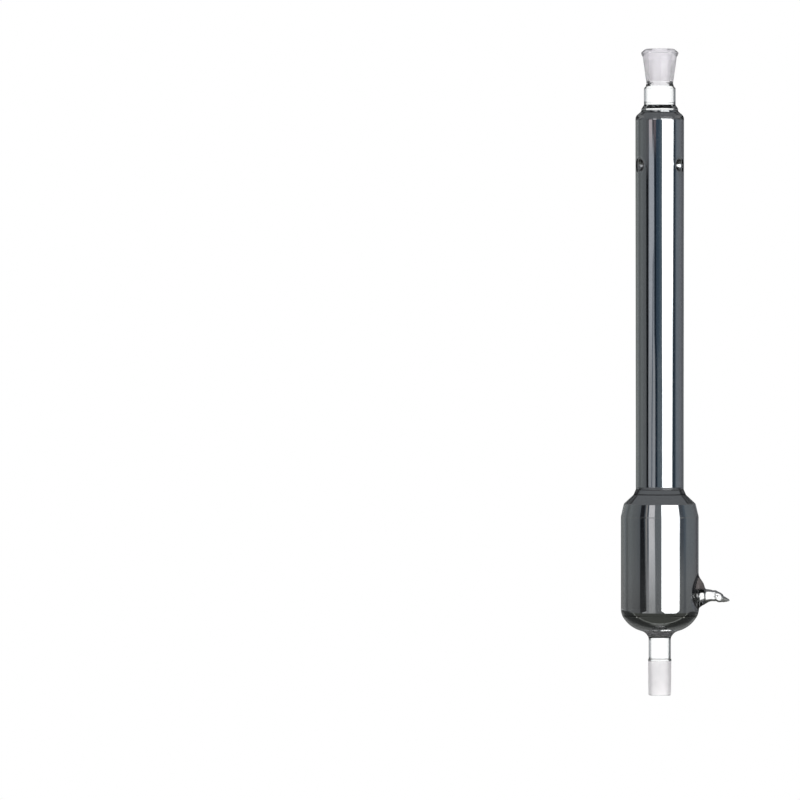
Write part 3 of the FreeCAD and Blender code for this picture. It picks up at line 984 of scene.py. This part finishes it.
# ------------------------------------------------------------------ stem
stem_loop = rounded(
    [
        (STEM_TOP_R, STEM_TOP_Z - GAP), (STEM_R, 59.9), (STEM_R, CONE_TOP_Z + GAP),
        (STEM_IN, CONE_TOP_Z + GAP), (STEM_IN, STEM_TOP_Z - GAP),
    ],
    [0, 6.0, 0.1, 0.1, 0],
)
revolve("stem_tube", refine(stem_loop, 1.2, close=True), [GLASS])


# ------------------------------------------------------------------ ground cone
def cone_material(a, b):
    """1 on the ground outside, 0 elsewhere."""
    outer = a[0] > 9.75 and b[0] > 9.75 and abs(a[1] - b[1]) > 0.05
    return 1 if outer and 0.6 < min(a[1], b[1]) and max(a[1], b[1]) < 36.5 else 0


cone_loop = rounded(
    [
        (STEM_R, CONE_TOP_Z - GAP), (12.0, 36.8), (11.7, 6.0), (11.5, 0.0), (STEM_IN, 0.0),
        (STEM_IN, CONE_TOP_Z - GAP),
    ],
    [0.1, 0.6, 0, 1.9, 0.6, 0.1],
    close=True,
)
revolve(
    "bottom_cone", refine(cone_loop, 1.5, close=True), [GLASS, GROUND_CONE], pick=cone_material
)

# ------------------------------------------------------------------ evacuation arm
ARM_END_X = 57.0
# sections along the arm: (x, z, radius, tilt in radians below +X)
ARM_OUTER = [
    (ARM_SEAM_X + GAP, 102.9, 9.6, 0), (46.45, 102.5, 8.9, 0), (46.95, 102.0, 8.05, 0),
    (47.6, 101.9, 7.6, 0), (48.6, 102.1, 7.15, 0), (50.0, 102.45, 6.7, 0),
    (51.6, 102.65, 6.25, 0), (53.2, 102.7, 5.9, 0), (54.8, 102.45, 5.65, 0),
    (56.2, 102.45, 5.7, 0), (ARM_END_X - GAP, ARM_Z, 5.65, 0),
]
ARM_INNER = [
    (ARM_END_X - GAP, 102.9, 3.3, 0), (55.5, 103.3, 3.0, 0), (53.0, 103.7, 2.85, 0),
    (50.5, 103.8, 2.85, 0), (48.8, 103.8, 2.9, 0), (47.4, 103.7, 3.0, 0),
    (46.5, 103.6, 3.15, 0), (ARM_SEAM_X + GAP, 103.6, 3.2, 0),
]


def arm_rings(sections, steps):
    """Rings round a bent centre line, with steps rings from one section to the next."""
    smooth = [
        spline_point(sections, i, j / steps)
        for i in range(len(sections) - 1) for j in range(steps)
    ]
    rings = []
    for x, z, r, tilt in smooth + [sections[-1]]:
        ux, uz = math.sin(tilt), math.cos(tilt)        # in the XZ plane, square to the line
        ring = []
        for j in range(ARM_SEGS):
            a = 2 * math.pi * j / ARM_SEGS
            up = math.sin(a)
            ring.append((x + ux * r * up, r * math.cos(a), z + uz * r * up))
        rings.append(ring)
    return rings


def build_arm():
    rings = arm_rings(ARM_OUTER, steps=4) + arm_rings(ARM_INNER, steps=4)
    verts, faces = [], []
    for i, ring in enumerate(rings):
        verts += ring
        after = (i + 1) % len(rings)
        faces += ring_faces(i * ARM_SEGS, after * ARM_SEGS, ARM_SEGS)
    make_object("evacuation_arm", verts, faces, [GLASS], sharp=50.0)


build_arm()

# ------------------------------------------------------------------ sealed tip of the arm
# the same columns as the arm's sections
TIP_OUTER = [
    (ARM_END_X + GAP, 102.5, 5.6, 0.0), (57.5, 102.48, 5.8, 0.0), (58.2, 102.3, 5.35, 0.06),
    (59.0, 101.9, 4.95, 0.2), (59.9, 101.4, 5.0, 0.3), (61.4, 100.6, 4.95, 0.4),
    (63.0, 99.8, 4.5, 0.42), (64.3, 99.2, 3.6, 0.36), (65.3, 98.9, 3.0, 0.26),
    (66.4, 98.7, 3.05, 0.2), (67.6, 98.5, 2.3, 0.16), (68.7, 98.3, 2.2, 0.12),
    (69.8, 98.1, 1.5, 0.1), (70.9, 97.9, 1.2, 0.1), (71.6, 97.8, 0.6, 0.1),
    (71.8, 97.78, 0.06, 0.1),
]
TIP_INNER = [
    (ARM_END_X + GAP, 102.9, 3.3, 0.0), (57.7, 102.6, 2.6, 0.0), (58.5, 102.3, 1.5, 0.1),
    (59.3, 101.9, 1.6, 0.3), (60.4, 101.2, 2.8, 0.4), (62.0, 100.4, 3.1, 0.42),
    (63.2, 99.8, 2.5, 0.42), (64.0, 99.4, 1.6, 0.42), (64.4, 99.2, 0.8, 0.42),
    (64.6, 99.1, 0.06, 0.42),
]
TIP_OUTER_POLE = (71.85, 0, 97.78)
TIP_INNER_POLE = (64.62, 0, 99.09)


def build_tip():
    verts, faces = [], []
    starts = []
    for sections, pole, flip in (
        (TIP_OUTER, TIP_OUTER_POLE, False), (TIP_INNER, TIP_INNER_POLE, True)
    ):
        start = len(verts)
        starts.append(start)
        rings = arm_rings(sections, steps=3)
        for ring in rings:
            verts += ring
        last = start + (len(rings) - 1) * ARM_SEGS
        for first in range(start, last, ARM_SEGS):
            faces += ring_faces(first, first + ARM_SEGS, ARM_SEGS, flip)
        faces += fan_faces(last, len(verts), ARM_SEGS, flip)
        verts.append(pole)
    faces += ring_faces(*starts, ARM_SEGS, flip=True)
    make_object("sealed_tip", verts, faces, [TIP_GLASS], sharp=50.0)


build_tip()

# ------------------------------------------------------------------ inner tube: profiles
BULB_R, BULB_NECK_R = 20.0, 10.5
BULB_PITCH, BULB_COUNT, BULB_WALL = 42.0, 8, 1.6
BULB_TOP_Z = 520.0
BULB_BOT_Z = BULB_TOP_Z - BULB_PITCH * BULB_COUNT
HALF_BULB = BULB_PITCH / 2
# radius of the throat's arc, which touches the arcs of the bulbs above and below it
THROAT_R = (HALF_BULB ** 2 + BULB_NECK_R ** 2 - BULB_R ** 2) / (2 * (BULB_R - BULB_NECK_R))
HEAD = (
    [(NECK_R, HEAD_TOP_Z), (NECK_R, 530.5), (BULB_NECK_R, 524.5), (BULB_NECK_R, BULB_TOP_Z)],
    [0, 7.0, 5.0, 0],
)


def bulb_line(depth):
    """The bulb tube's profile moved in by depth, top to bottom."""
    throat_x = BULB_NECK_R + THROAT_R
    touch = math.atan2(HALF_BULB, throat_x)    # from the bulb's centre to the throat's
    throat_r, bulb_r = THROAT_R + depth, BULB_R - depth
    out = []

    def add_arc(x, z, r, angles):
        out.extend((x + r * math.cos(a), z + r * math.sin(a)) for a in angles)

    for i in range(BULB_COUNT):
        z = BULB_TOP_Z - HALF_BULB - i * BULB_PITCH
        start, end = math.pi, math.pi + touch
        add_arc(throat_x, z + HALF_BULB, throat_r,
                [start + (end - start) * k / 9 for k in range(9)])
        add_arc(0.0, z, bulb_r, [touch - 2 * touch * k / 24 for k in range(25)])
        add_arc(throat_x, z - HALF_BULB, throat_r,
                [math.pi - touch + touch * k / 9 for k in range(1, 9)])
    out.append((BULB_NECK_R - depth, BULB_BOT_Z))
    return out


FOLD_COUNT, FOLD_PITCH = 4, 16.0
FOLD_TOP_Z = 164.0                   # height of the top crest
CREST_R, ROOT_R = 25.0, 16.0
BELLOWS_BOT_Z = 100.0
BELLOWS_WALL = 1.3


def bellows_profile():
    """Folds with straight flanks, whose corners are set so that the arcs reach the radii."""
    flank = math.radians(62.0)
    grow = FOLD_PITCH / 2 * math.tan(flank)
    bend = (grow - (CREST_R - ROOT_R)) / 2 / (1 / math.cos(flank) - 1)
    crest = CREST_R + bend * (1 / math.cos(flank) - 1)
    root = ROOT_R - bend * (1 / math.cos(flank) - 1)
    top_turn_z = FOLD_TOP_Z + (crest - BULB_NECK_R) / math.tan(flank)
    points, radii = [(BULB_NECK_R, BULB_BOT_Z), (BULB_NECK_R, top_turn_z)], [0, 3.0]
    for i in range(FOLD_COUNT):
        points.append((crest, FOLD_TOP_Z - i * FOLD_PITCH))
        radii.append(bend)
        if i < FOLD_COUNT - 1:
            points.append((root, FOLD_TOP_Z - (i + 0.5) * FOLD_PITCH))
            radii.append(bend)
    last_crest_z = FOLD_TOP_Z - (FOLD_COUNT - 1) * FOLD_PITCH
    points.append((STEM_R, last_crest_z - (crest - STEM_R) / math.tan(flank)))
    points.append((STEM_R, BELLOWS_BOT_Z))
    return points, radii + [3.0, 0]


BELLOWS = bellows_profile()

# ------------------------------------------------------------------ inner tube: glass
revolve(
    "inner_head_tube", refine(offset_wall(HEAD, 0.0, WALL), 8.0, close=True), [GLASS],
    segs=INNER_SEGS,
)
revolve(
    "allihn_bulb_tube", wall_loop(bulb_line(0.0), bulb_line(BULB_WALL)), [GLASS],
    segs=INNER_SEGS, warp=None,
)
revolve(
    "expansion_bellows", offset_wall(BELLOWS, 0.0, BELLOWS_WALL), [GLASS],
    segs=INNER_SEGS, warp=None,
)
foot_loop = wall_loop(
    [(STEM_R, BELLOWS_BOT_Z), (STEM_R, FOOT_Z)], [(STEM_IN, BELLOWS_BOT_Z), (STEM_IN, FOOT_Z)]
)
revolve("inner_foot_tube", refine(foot_loop, 4.0, close=True), [GLASS], segs=INNER_SEGS)


# ------------------------------------------------------------------ silver films
def build_jacket_film():
    shell = Shell()
    slim = with_mid(SLIM_INNER)
    near, far = offset(*slim, FILM_NEAR), offset(*slim, FILM_FAR)
    shell.add_ring(slim_loop(near, far, end_r=0.0, gap=0.05), warp=dimpled)
    # undersides of the two ring seals
    top = ([SHOULDER_IN, (NECK_R, RING_TOP_Z), (NECK_R, 598.3)], [0, 0.8, 0])
    near, far = rounded(*offset(*top, -FILM_NEAR)), rounded(*offset(*top, -FILM_FAR))
    shell.add_ring(loop_from(near, far)[::-1])
    bottom = ([DOME_CUT_IN, dome_point(DOME_CUT_IN, STEM_R), (STEM_R, 71.7)], [0, 2.0, 0])
    near, far = rounded(*offset(*bottom, FILM_NEAR)), rounded(*offset(*bottom, FILM_FAR))
    shell.add_ring(loop_from(near, far))
    shell.add_mesh(*wide_shell(
        sides=[(WIDE_INNER, FILM_NEAR), (WIDE_INNER, FILM_FAR)],
        depths=(WALL + FILM_NEAR, WALL + FILM_FAR), gap=0.05, film_edge_x=39.5,
    ))
    shell.build("jacket_silvering", [SILVER], sharp=60.0)


def build_inner_film():
    shell = Shell()
    head = offset_wall(HEAD, -FILM_FAR, -FILM_NEAR, gap=0.3)
    shell.add_ring(refine(head, 8.0, close=True), segs=INNER_SEGS)
    bulbs = wall_loop(bulb_line(-FILM_FAR), bulb_line(-FILM_NEAR))
    shell.add_ring(bulbs, segs=INNER_SEGS, warp=None)
    shell.add_ring(offset_wall(BELLOWS, -FILM_FAR, -FILM_NEAR), segs=INNER_SEGS, warp=None)
    far_r, near_r = STEM_R + FILM_FAR, STEM_R + FILM_NEAR
    foot = [(far_r, 99.9), (far_r, 72.3), (near_r, 72.3), (near_r, 99.9)]
    shell.add_ring(refine(foot, 4.0, close=True), segs=INNER_SEGS)
    shell.build("inner_tube_silvering", [SILVER_IN], sharp=60.0)


build_jacket_film()
build_inner_film()

for name, ob in pieces.items():
    ob.name = name + ("_film" if "silvering" in name else "_glass")
    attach(ob, "root")
    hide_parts(name)

# ------------------------------------------------------------------ floor, in metres
FLOOR_HALF = 40.0
FLOOR_Z = -0.002


def build_floor():
    """A white plane that only the camera sees."""
    material = bpy.data.materials.new("pale_floor")
    tree = fresh_tree(material)
    out = tree.nodes.new("ShaderNodeOutputMaterial")
    emission = tree.nodes.new("ShaderNodeEmission")
    emission.inputs["Color"].default_value = (1, 1, 1, 1)
    emission.inputs["Strength"].default_value = 1.0
    tree.links.new(emission.outputs[0], out.inputs[0])
    mesh = bpy.data.meshes.new("floor")
    corners = [(-1, -1), (1, -1), (1, 1), (-1, 1)]
    verts = [(x * FLOOR_HALF, y * FLOOR_HALF, FLOOR_Z) for x, y in corners]
    mesh.from_pydata(verts, [], [(0, 1, 2, 3)])
    mesh.materials.append(material)
    floor = bpy.data.objects.new("floor", mesh)
    bpy.context.scene.collection.objects.link(floor)
    floor.visible_glossy = False
    floor.visible_transmission = False
    floor.visible_diffuse = False
    floor.visible_shadow = False


build_floor()

# ------------------------------------------------------------------ studio: sky helpers
# The world shows white to the camera and a studio of cards to mirrors.
world = bpy.data.worlds.new("studio")
bpy.context.scene.world = world
sky = fresh_tree(world)
world_out = sky.nodes.new("ShaderNodeOutputWorld")
background = sky.nodes.new("ShaderNodeBackground")
sky.links.new(background.outputs[0], world_out.inputs[0])


def calc(operation, *values):
    return math_node(sky, operation, *values)


def plus(a, b):
    return calc("ADD", a, b)


def minus(a, b):
    return calc("SUBTRACT", a, b)


def times(a, b):
    return calc("MULTIPLY", a, b)


def inverse(mask):
    return minus(1.0, mask)


def rise(source, low, high):
    """0 under low, 1 over high."""
    return remap(sky, source, (low, high), smooth=True)


def fall(source, low, high):
    return inverse(rise(source, low, high))


def below(source, low, high):
    """0 over -low, 1 under -high."""
    return rise(times(source, -1.0), low, high)


def over(source, limit):
    return calc("GREATER_THAN", source, limit)


def less(source, limit):
    return calc("LESS_THAN", source, limit)


def within(source, low, high):
    return times(over(source, low), less(source, high))


def mix(mask, under, top):
    return mix_color(sky, mask, under, top)


def paint(code, gain=1.25):
    """A colour from its sRGB code, made linear and multiplied by gain."""
    out = []
    for k in (0, 2, 4):
        c = int(code[k:k + 2], 16) / 255
        out.append((c / 12.92 if c <= 0.04045 else ((c + 0.055) / 1.055) ** 2.4) * gain)
    return tuple(out)


def camera_axis(vector):
    """A camera direction in world axes."""
    node = sky.nodes.new("ShaderNodeVectorTransform")
    node.vector_type = "VECTOR"
    node.convert_from = "CAMERA"
    node.convert_to = "WORLD"
    node.inputs[0].default_value = vector
    split = sky.nodes.new("ShaderNodeSeparateXYZ")
    sky.links.new(node.outputs[0], split.inputs[0])
    return split.outputs


# ------------------------------------------------------------------ studio: directions
# The studio turns with the camera, as on a turntable.
BEARING_SHIFT = 2.24
HALF_TURN = 180 / math.pi            # radians to degrees

dx, dy, dz = axes(sky, "Generated")
right = camera_axis((1, 0, 0))
forward = camera_axis((0, 0, 1))
across = plus(times(dx, right[0]), times(dy, right[1]))      # to the camera's right
away = minus(times(dy, right[0]), times(dx, right[1]))       # away from the camera
toward = inverse(away)
# a mirror's normal lies half way back to the camera, so the bearing is twice the normal's
bearing = times(calc("ARCTAN2", across, toward), 360 / math.pi)
flat_length = calc("SQRT", plus(times(across, across), times(toward, toward)))
lift = times(calc("ARCTAN2", dz, flat_length), HALF_TURN)    # the normal's rise, degrees
view_tilt = times(calc("ARCSINE", forward[2]), HALF_TURN)
# from an upright wall this also tells how high on the column the mirror is
elevation = minus(times(calc("ARCSINE", dz), HALF_TURN), view_tilt)
bearing = plus(bearing, BEARING_SHIFT)
bearing_share = calc("MULTIPLY_ADD", bearing, 1 / 360.0, 0.5)

# which part of the column looks
held = calc("MINIMUM", calc("MAXIMUM", elevation, -1.9), 2.4)
slope_up = rise(elevation, 2.9, 3.5)                          # slopes of the shoulders
held = plus(held, times(slope_up, minus(-1.0, held)))
wide = calc("MAXIMUM", below(elevation, 0.74, 0.96), rise(elevation, 2.9, 3.5))
high = times(rise(elevation, 2.05, 2.18), inverse(slope_up))  # the slim tube's top
high_flag = times(rise(elevation, 1.76, 1.92), inverse(slope_up))
low_slim = calc("MAXIMUM", fall(elevation, -0.1, 0.7), slope_up)
low_wide = below(elevation, 1.1, 1.7)


def if_wide(base, shift):
    """An edge that stands elsewhere as seen from the wide jacket."""
    return calc("MULTIPLY_ADD", wide, shift, base)


def nudge(base, mask, shift):
    return plus(base, times(mask, shift))


def edge(at, soft):
    """0 before a bearing, 1 after it. at may be a number or a socket."""
    if isinstance(at, (int, float)):
        return rise(bearing, at - soft, at + soft)
    return rise(minus(bearing, at), -soft, soft)


def card(under, start, end, color, soft, amount=None):
    """Lays a card over the walls between two bearings."""
    mask = times(edge(start, soft), inverse(edge(end, soft)))
    if amount is not None:
        mask = times(mask, amount)
    return mix(mask, under, color)


# ------------------------------------------------------------------ studio: walls and cards
# (bearing in degrees, sRGB code, gain); 0 is at the camera, + to its right
WALLS = [
    (-180, "6c7070", 1.05), (-152, "6a6e6e", 1.05), (-140, "7c7f7e", 1.05),
    (-130, "73777a", 1.05), (-119, "575a5a", 1.1), (-110, "656868", 1.15),
    (-101, "656869", 1.2), (-88, "5b5d5e", 1.25), (-74, "57595b", 1.25),
    (-40, "3a424a", 1.25), (-8, "33404d", 1.25), (6, "4c5861", 1.25),
    (40, "50585f", 1.25), (86, "485058", 1.25), (93, "676d74", 1.25),
    (104, "696e74", 1.2), (118, "6a6d72", 1.2), (127, "6d6e73", 1.15),
    (138, "64656a", 1.1), (149, "484a4e", 1.05), (158, "5a5c60", 1.05),
    (168, "7c7e82", 1.0), (180, "6c7070", 1.05),
]
walls = ramp(
    sky, bearing_share, [((at + 180) / 360.0, paint(code, gain)) for at, code, gain in WALLS]
)

# middle field: paler as seen from low on the tube and from the wide jacket
walls = card(
    walls, start=if_wide(-12.0, -6.0), end=if_wide(13.0, -5.0), color=paint("515a61"),
    soft=3.0, amount=calc("MAXIMUM", low_slim, wide),
)
walls = card(walls, start=-19.0, end=10.0, color=paint("5f6265"), soft=2.0, amount=wide)

# left dark flag and the gap beside it
flag = mix(high_flag, paint("05070a"), paint("545456"))
flag = mix(wide, flag, mix(low_wide, paint("18191d"), paint("2b2c2d")))
walls = card(
    walls, start=if_wide(-57.5, 14.0), end=if_wide(-30.0, 12.0), color=paint("5f6064"),
    soft=4.0, amount=inverse(wide),
)
walls = card(
    walls, start=if_wide(-71.5, 9.0), end=nudge(if_wide(-60.5, 12.5), low_wide, 6.0),
    color=flag, soft=1.6,
)

# reflector strip, with a darker card under it and another over it
strip_slim = mix(high, mix(low_slim, paint("989aa0"), paint("87898d")), paint("aca2a5"))
strip_wide = mix(low_wide, paint("c0bdbf"), paint("919193"))
walls = card(
    walls, start=-44.5, end=-38.5, color=paint("7c7876"), soft=1.5,
    amount=times(wide, inverse(low_wide)),
)
strip_end = if_wide(calc("MULTIPLY_ADD", held, -0.6, -28.0), 7.0)
strip_end = nudge(strip_end, high, -9.5)
strip_end = nudge(strip_end, low_slim, 5.0)
strip_end = nudge(strip_end, low_wide, 2.0)
strip_start = nudge(if_wide(-55.5, 21.5), times(low_slim, inverse(wide)), -3.5)
strip_start = nudge(strip_start, below(lift, 2.5, 12.0), -22.0)
walls = card(
    walls, start=strip_start, end=strip_end, color=mix(wide, strip_slim, strip_wide), soft=1.4
)
walls = card(
    walls, start=nudge(-40.5, low_wide, -0.5), end=-33.0, color=paint("7e7e80"), soft=1.6,
    amount=times(wide, low_wide),
)

# a dark thread down the strip: the gap between two panels
thread = plus(times(elevation, 5.2), -38.0)
walls = card(
    walls, start=minus(thread, 2.6), end=plus(thread, 2.6), color=paint("50565e"), soft=1.6,
    amount=times(fall(elevation, 0.9, 1.3), inverse(wide)),
)

# dark gap right of the strip
walls = card(
    walls, start=nudge(-25.5, low_slim, 4.0), end=nudge(-17.5, low_slim, 6.0),
    color=paint("18212a"), soft=1.6, amount=times(inverse(wide), inverse(high)),
)
walls = card(walls, start=-35.0, end=-29.5, color=paint("3d353a"), soft=1.6, amount=high)
walls = card(walls, start=-29.0, end=-19.0, color=paint("625a5e"), soft=2.0, amount=high)

# the right wall looks less blue from the wide jacket
walls = card(
    walls, start=88.0, end=134.0, color=paint("626668", 1.2), soft=6.0,
    amount=times(wide, 0.75),
)

# key softbox, with a dark border on its right and rounded lower corners
box_start = nudge(if_wide(11.6, -8.2), low_slim, 2.2)
box_end = nudge(calc("MULTIPLY_ADD", held, 2.5, 66.8), wide, -1.2)
box_end = nudge(box_end, low_wide, 1.6)
border = mix(wide, paint("29333c"), paint("3e4349"))
walls = card(
    walls, start=minus(box_end, 3.0), end=if_wide(84.0, -5.0),
    color=mix(low_wide, border, paint("5c6063")), soft=2.0,
)
sag = times(below(lift, 3.5, 13.5), 10.0)
softbox = times(edge(plus(box_start, sag), 1.4), inverse(edge(minus(box_end, sag), 1.8)))
walls = mix(softbox, walls, (2.0, 2.0, 2.0))

# low down the room is nearly colourless
saturation = sky.nodes.new("ShaderNodeHueSaturation")
sky.links.new(calc("MULTIPLY_ADD", low_wide, -0.72, 1.0), saturation.inputs["Saturation"])
sky.links.new(walls, saturation.inputs["Color"])
walls = saturation.outputs[0]

# ------------------------------------------------------------------ studio: ceiling and ground
UPPER = paint("5b5c5e")

# the ceiling, with dark drapes to each side of it
off_bearing = calc("ABSOLUTE", bearing)
ceiling_mask = times(rise(lift, 17.4, 18.6), rise(elevation, 3.2, 4.5))
drape_line = calc("MULTIPLY_ADD", lift, 1.45, 63.2)
drape_at = calc("MINIMUM", calc("MAXIMUM", drape_line, 98.0), 135.0)
past_drape = minus(off_bearing, drape_at)
drape = mix(rise(past_drape, 8.0, 16.0), paint("141516"), paint("37383a"))
ceiling = mix(rise(past_drape, -3.0, 3.0), UPPER, drape)
ceiling = mix(rise(elevation, 60.0, 70.0), ceiling, UPPER)

ground_mask = times(below(lift, 12.4, 13.8), below(elevation, 2.1, 2.6))
wall_foot = times(rise(off_bearing, 92.0, 112.0), below(lift, 7.0, 9.5))
walls = mix(times(wall_foot, below(elevation, 2.1, 2.6)), walls, paint("2c2d2c"))

# the ground: dark at the back, with two glows and a pale line across
ground = mix(rise(away, 0.10, 0.16), paint("42433f"), paint("2a2b29", 1.2))
pale_line = times(rise(away, 0.045, 0.075), fall(away, 0.085, 0.115))
off_axis = calc("ABSOLUTE", across)
glow = times(times(rise(away, 0.05, 0.08), fall(away, 0.18, 0.36)), fall(off_axis, 0.10, 0.32))
ground = mix(glow, ground, paint("6e6f6c", 1.3))
foot_glow = times(rise(away, 0.50, 0.66), fall(off_axis, 0.30, 0.55))
ground = mix(foot_glow, ground, paint("5a5b59", 1.3))
ground = mix(pale_line, ground, paint("90918d", 1.3))
studio = mix(ceiling_mask, walls, ceiling)
studio = mix(ground_mask, studio, ground)

# ------------------------------------------------------------------ studio: by the light's path
light_path = sky.nodes.new("ShaderNodeLightPath")
through = light_path.outputs["Transmission Depth"]
bounces = light_path.outputs["Glossy Depth"]

# light that turned round inside clear glass, away from the silver: pale, dimmer on the right
surround = mix(rise(bearing, -20.0, 20.0), paint("bcbfc2", 1.0), paint("8c9094", 1.0))
surround = mix(
    fall(elevation, -2.4, -1.9), surround,
    mix(rise(bearing, -20.0, 20.0), paint("a4a7a8", 1.0), paint("6a6d70", 1.0)),
)
few = within(through, 0.5, 3.5)
beyond_silver = calc(
    "MAXIMUM", within(elevation, 2.47, 3.3), times(less(elevation, -1.93), over(elevation, -2.8))
)
studio = mix(times(few, beyond_silver), studio, surround)

# what the silver shows of its own reflections has lost light twice
twice = times(over(bounces, 1.5), over(through, 3.5))
studio = mix(times(twice, 0.68), studio, (0.012, 0.012, 0.013))
turned = times(within(bounces, 1.5, 2.5), within(through, 3.5, 4.5))
turned = times(turned, below(elevation, 20.0, 28.0))
studio = mix(turned, studio, UPPER)
steep = times(few, rise(calc("ABSOLUTE", elevation), 4.0, 8.0))
studio = mix(times(steep, 0.6), studio, paint("6a6b6c"))

# through glass: a white backdrop behind the object, the dim studio to its sides
ahead = plus(plus(times(dx, forward[0]), times(dy, forward[1])), times(dz, forward[2]))
backdrop_mask = rise(ahead, math.cos(math.radians(66)), math.cos(math.radians(40)))
backdrop = mix(backdrop_mask, paint("9c9fa4", 1.0), (1.22, 1.22, 1.22))
diffuse = over(light_path.outputs["Diffuse Depth"], 0.5)
backdrop = mix(diffuse, backdrop, (1.30, 1.29, 1.33))
sky_color = mix(over(bounces, 0.5), backdrop, studio)
sky_color = mix(light_path.outputs["Is Camera Ray"], sky_color, (1.0, 1.0, 1.0))
sky.links.new(sky_color, background.inputs["Color"])
background.inputs["Strength"].default_value = 1.0

# ------------------------------------------------------------------ camera, in metres
# Level, far away, turned a little so that the column stands right of centre.
LENS, SENSOR = 300.0, 36.0           # mm
VIEW_WIDTH = 0.824                   # width seen at the column
COLUMN_SHIFT = 0.2675425             # from the middle of the view to the column
CAMERA_Z = 0.30385
CAMERA_DISTANCE = VIEW_WIDTH * LENS / SENSOR

scene = bpy.context.scene
scene.view_settings.view_transform = "Standard"
scene.view_settings.look = "None"
camera_data = bpy.data.cameras.new("camera")
camera_data.lens = LENS
camera_data.sensor_width = SENSOR
camera_data.clip_end = 100.0
camera = bpy.data.objects.new("camera", camera_data)
scene.collection.objects.link(camera)
camera.location = (0.0, -CAMERA_DISTANCE, CAMERA_Z)
camera.rotation_euler = (math.pi / 2, 0.0, math.atan2(COLUMN_SHIFT, CAMERA_DISTANCE))
scene.camera = camera
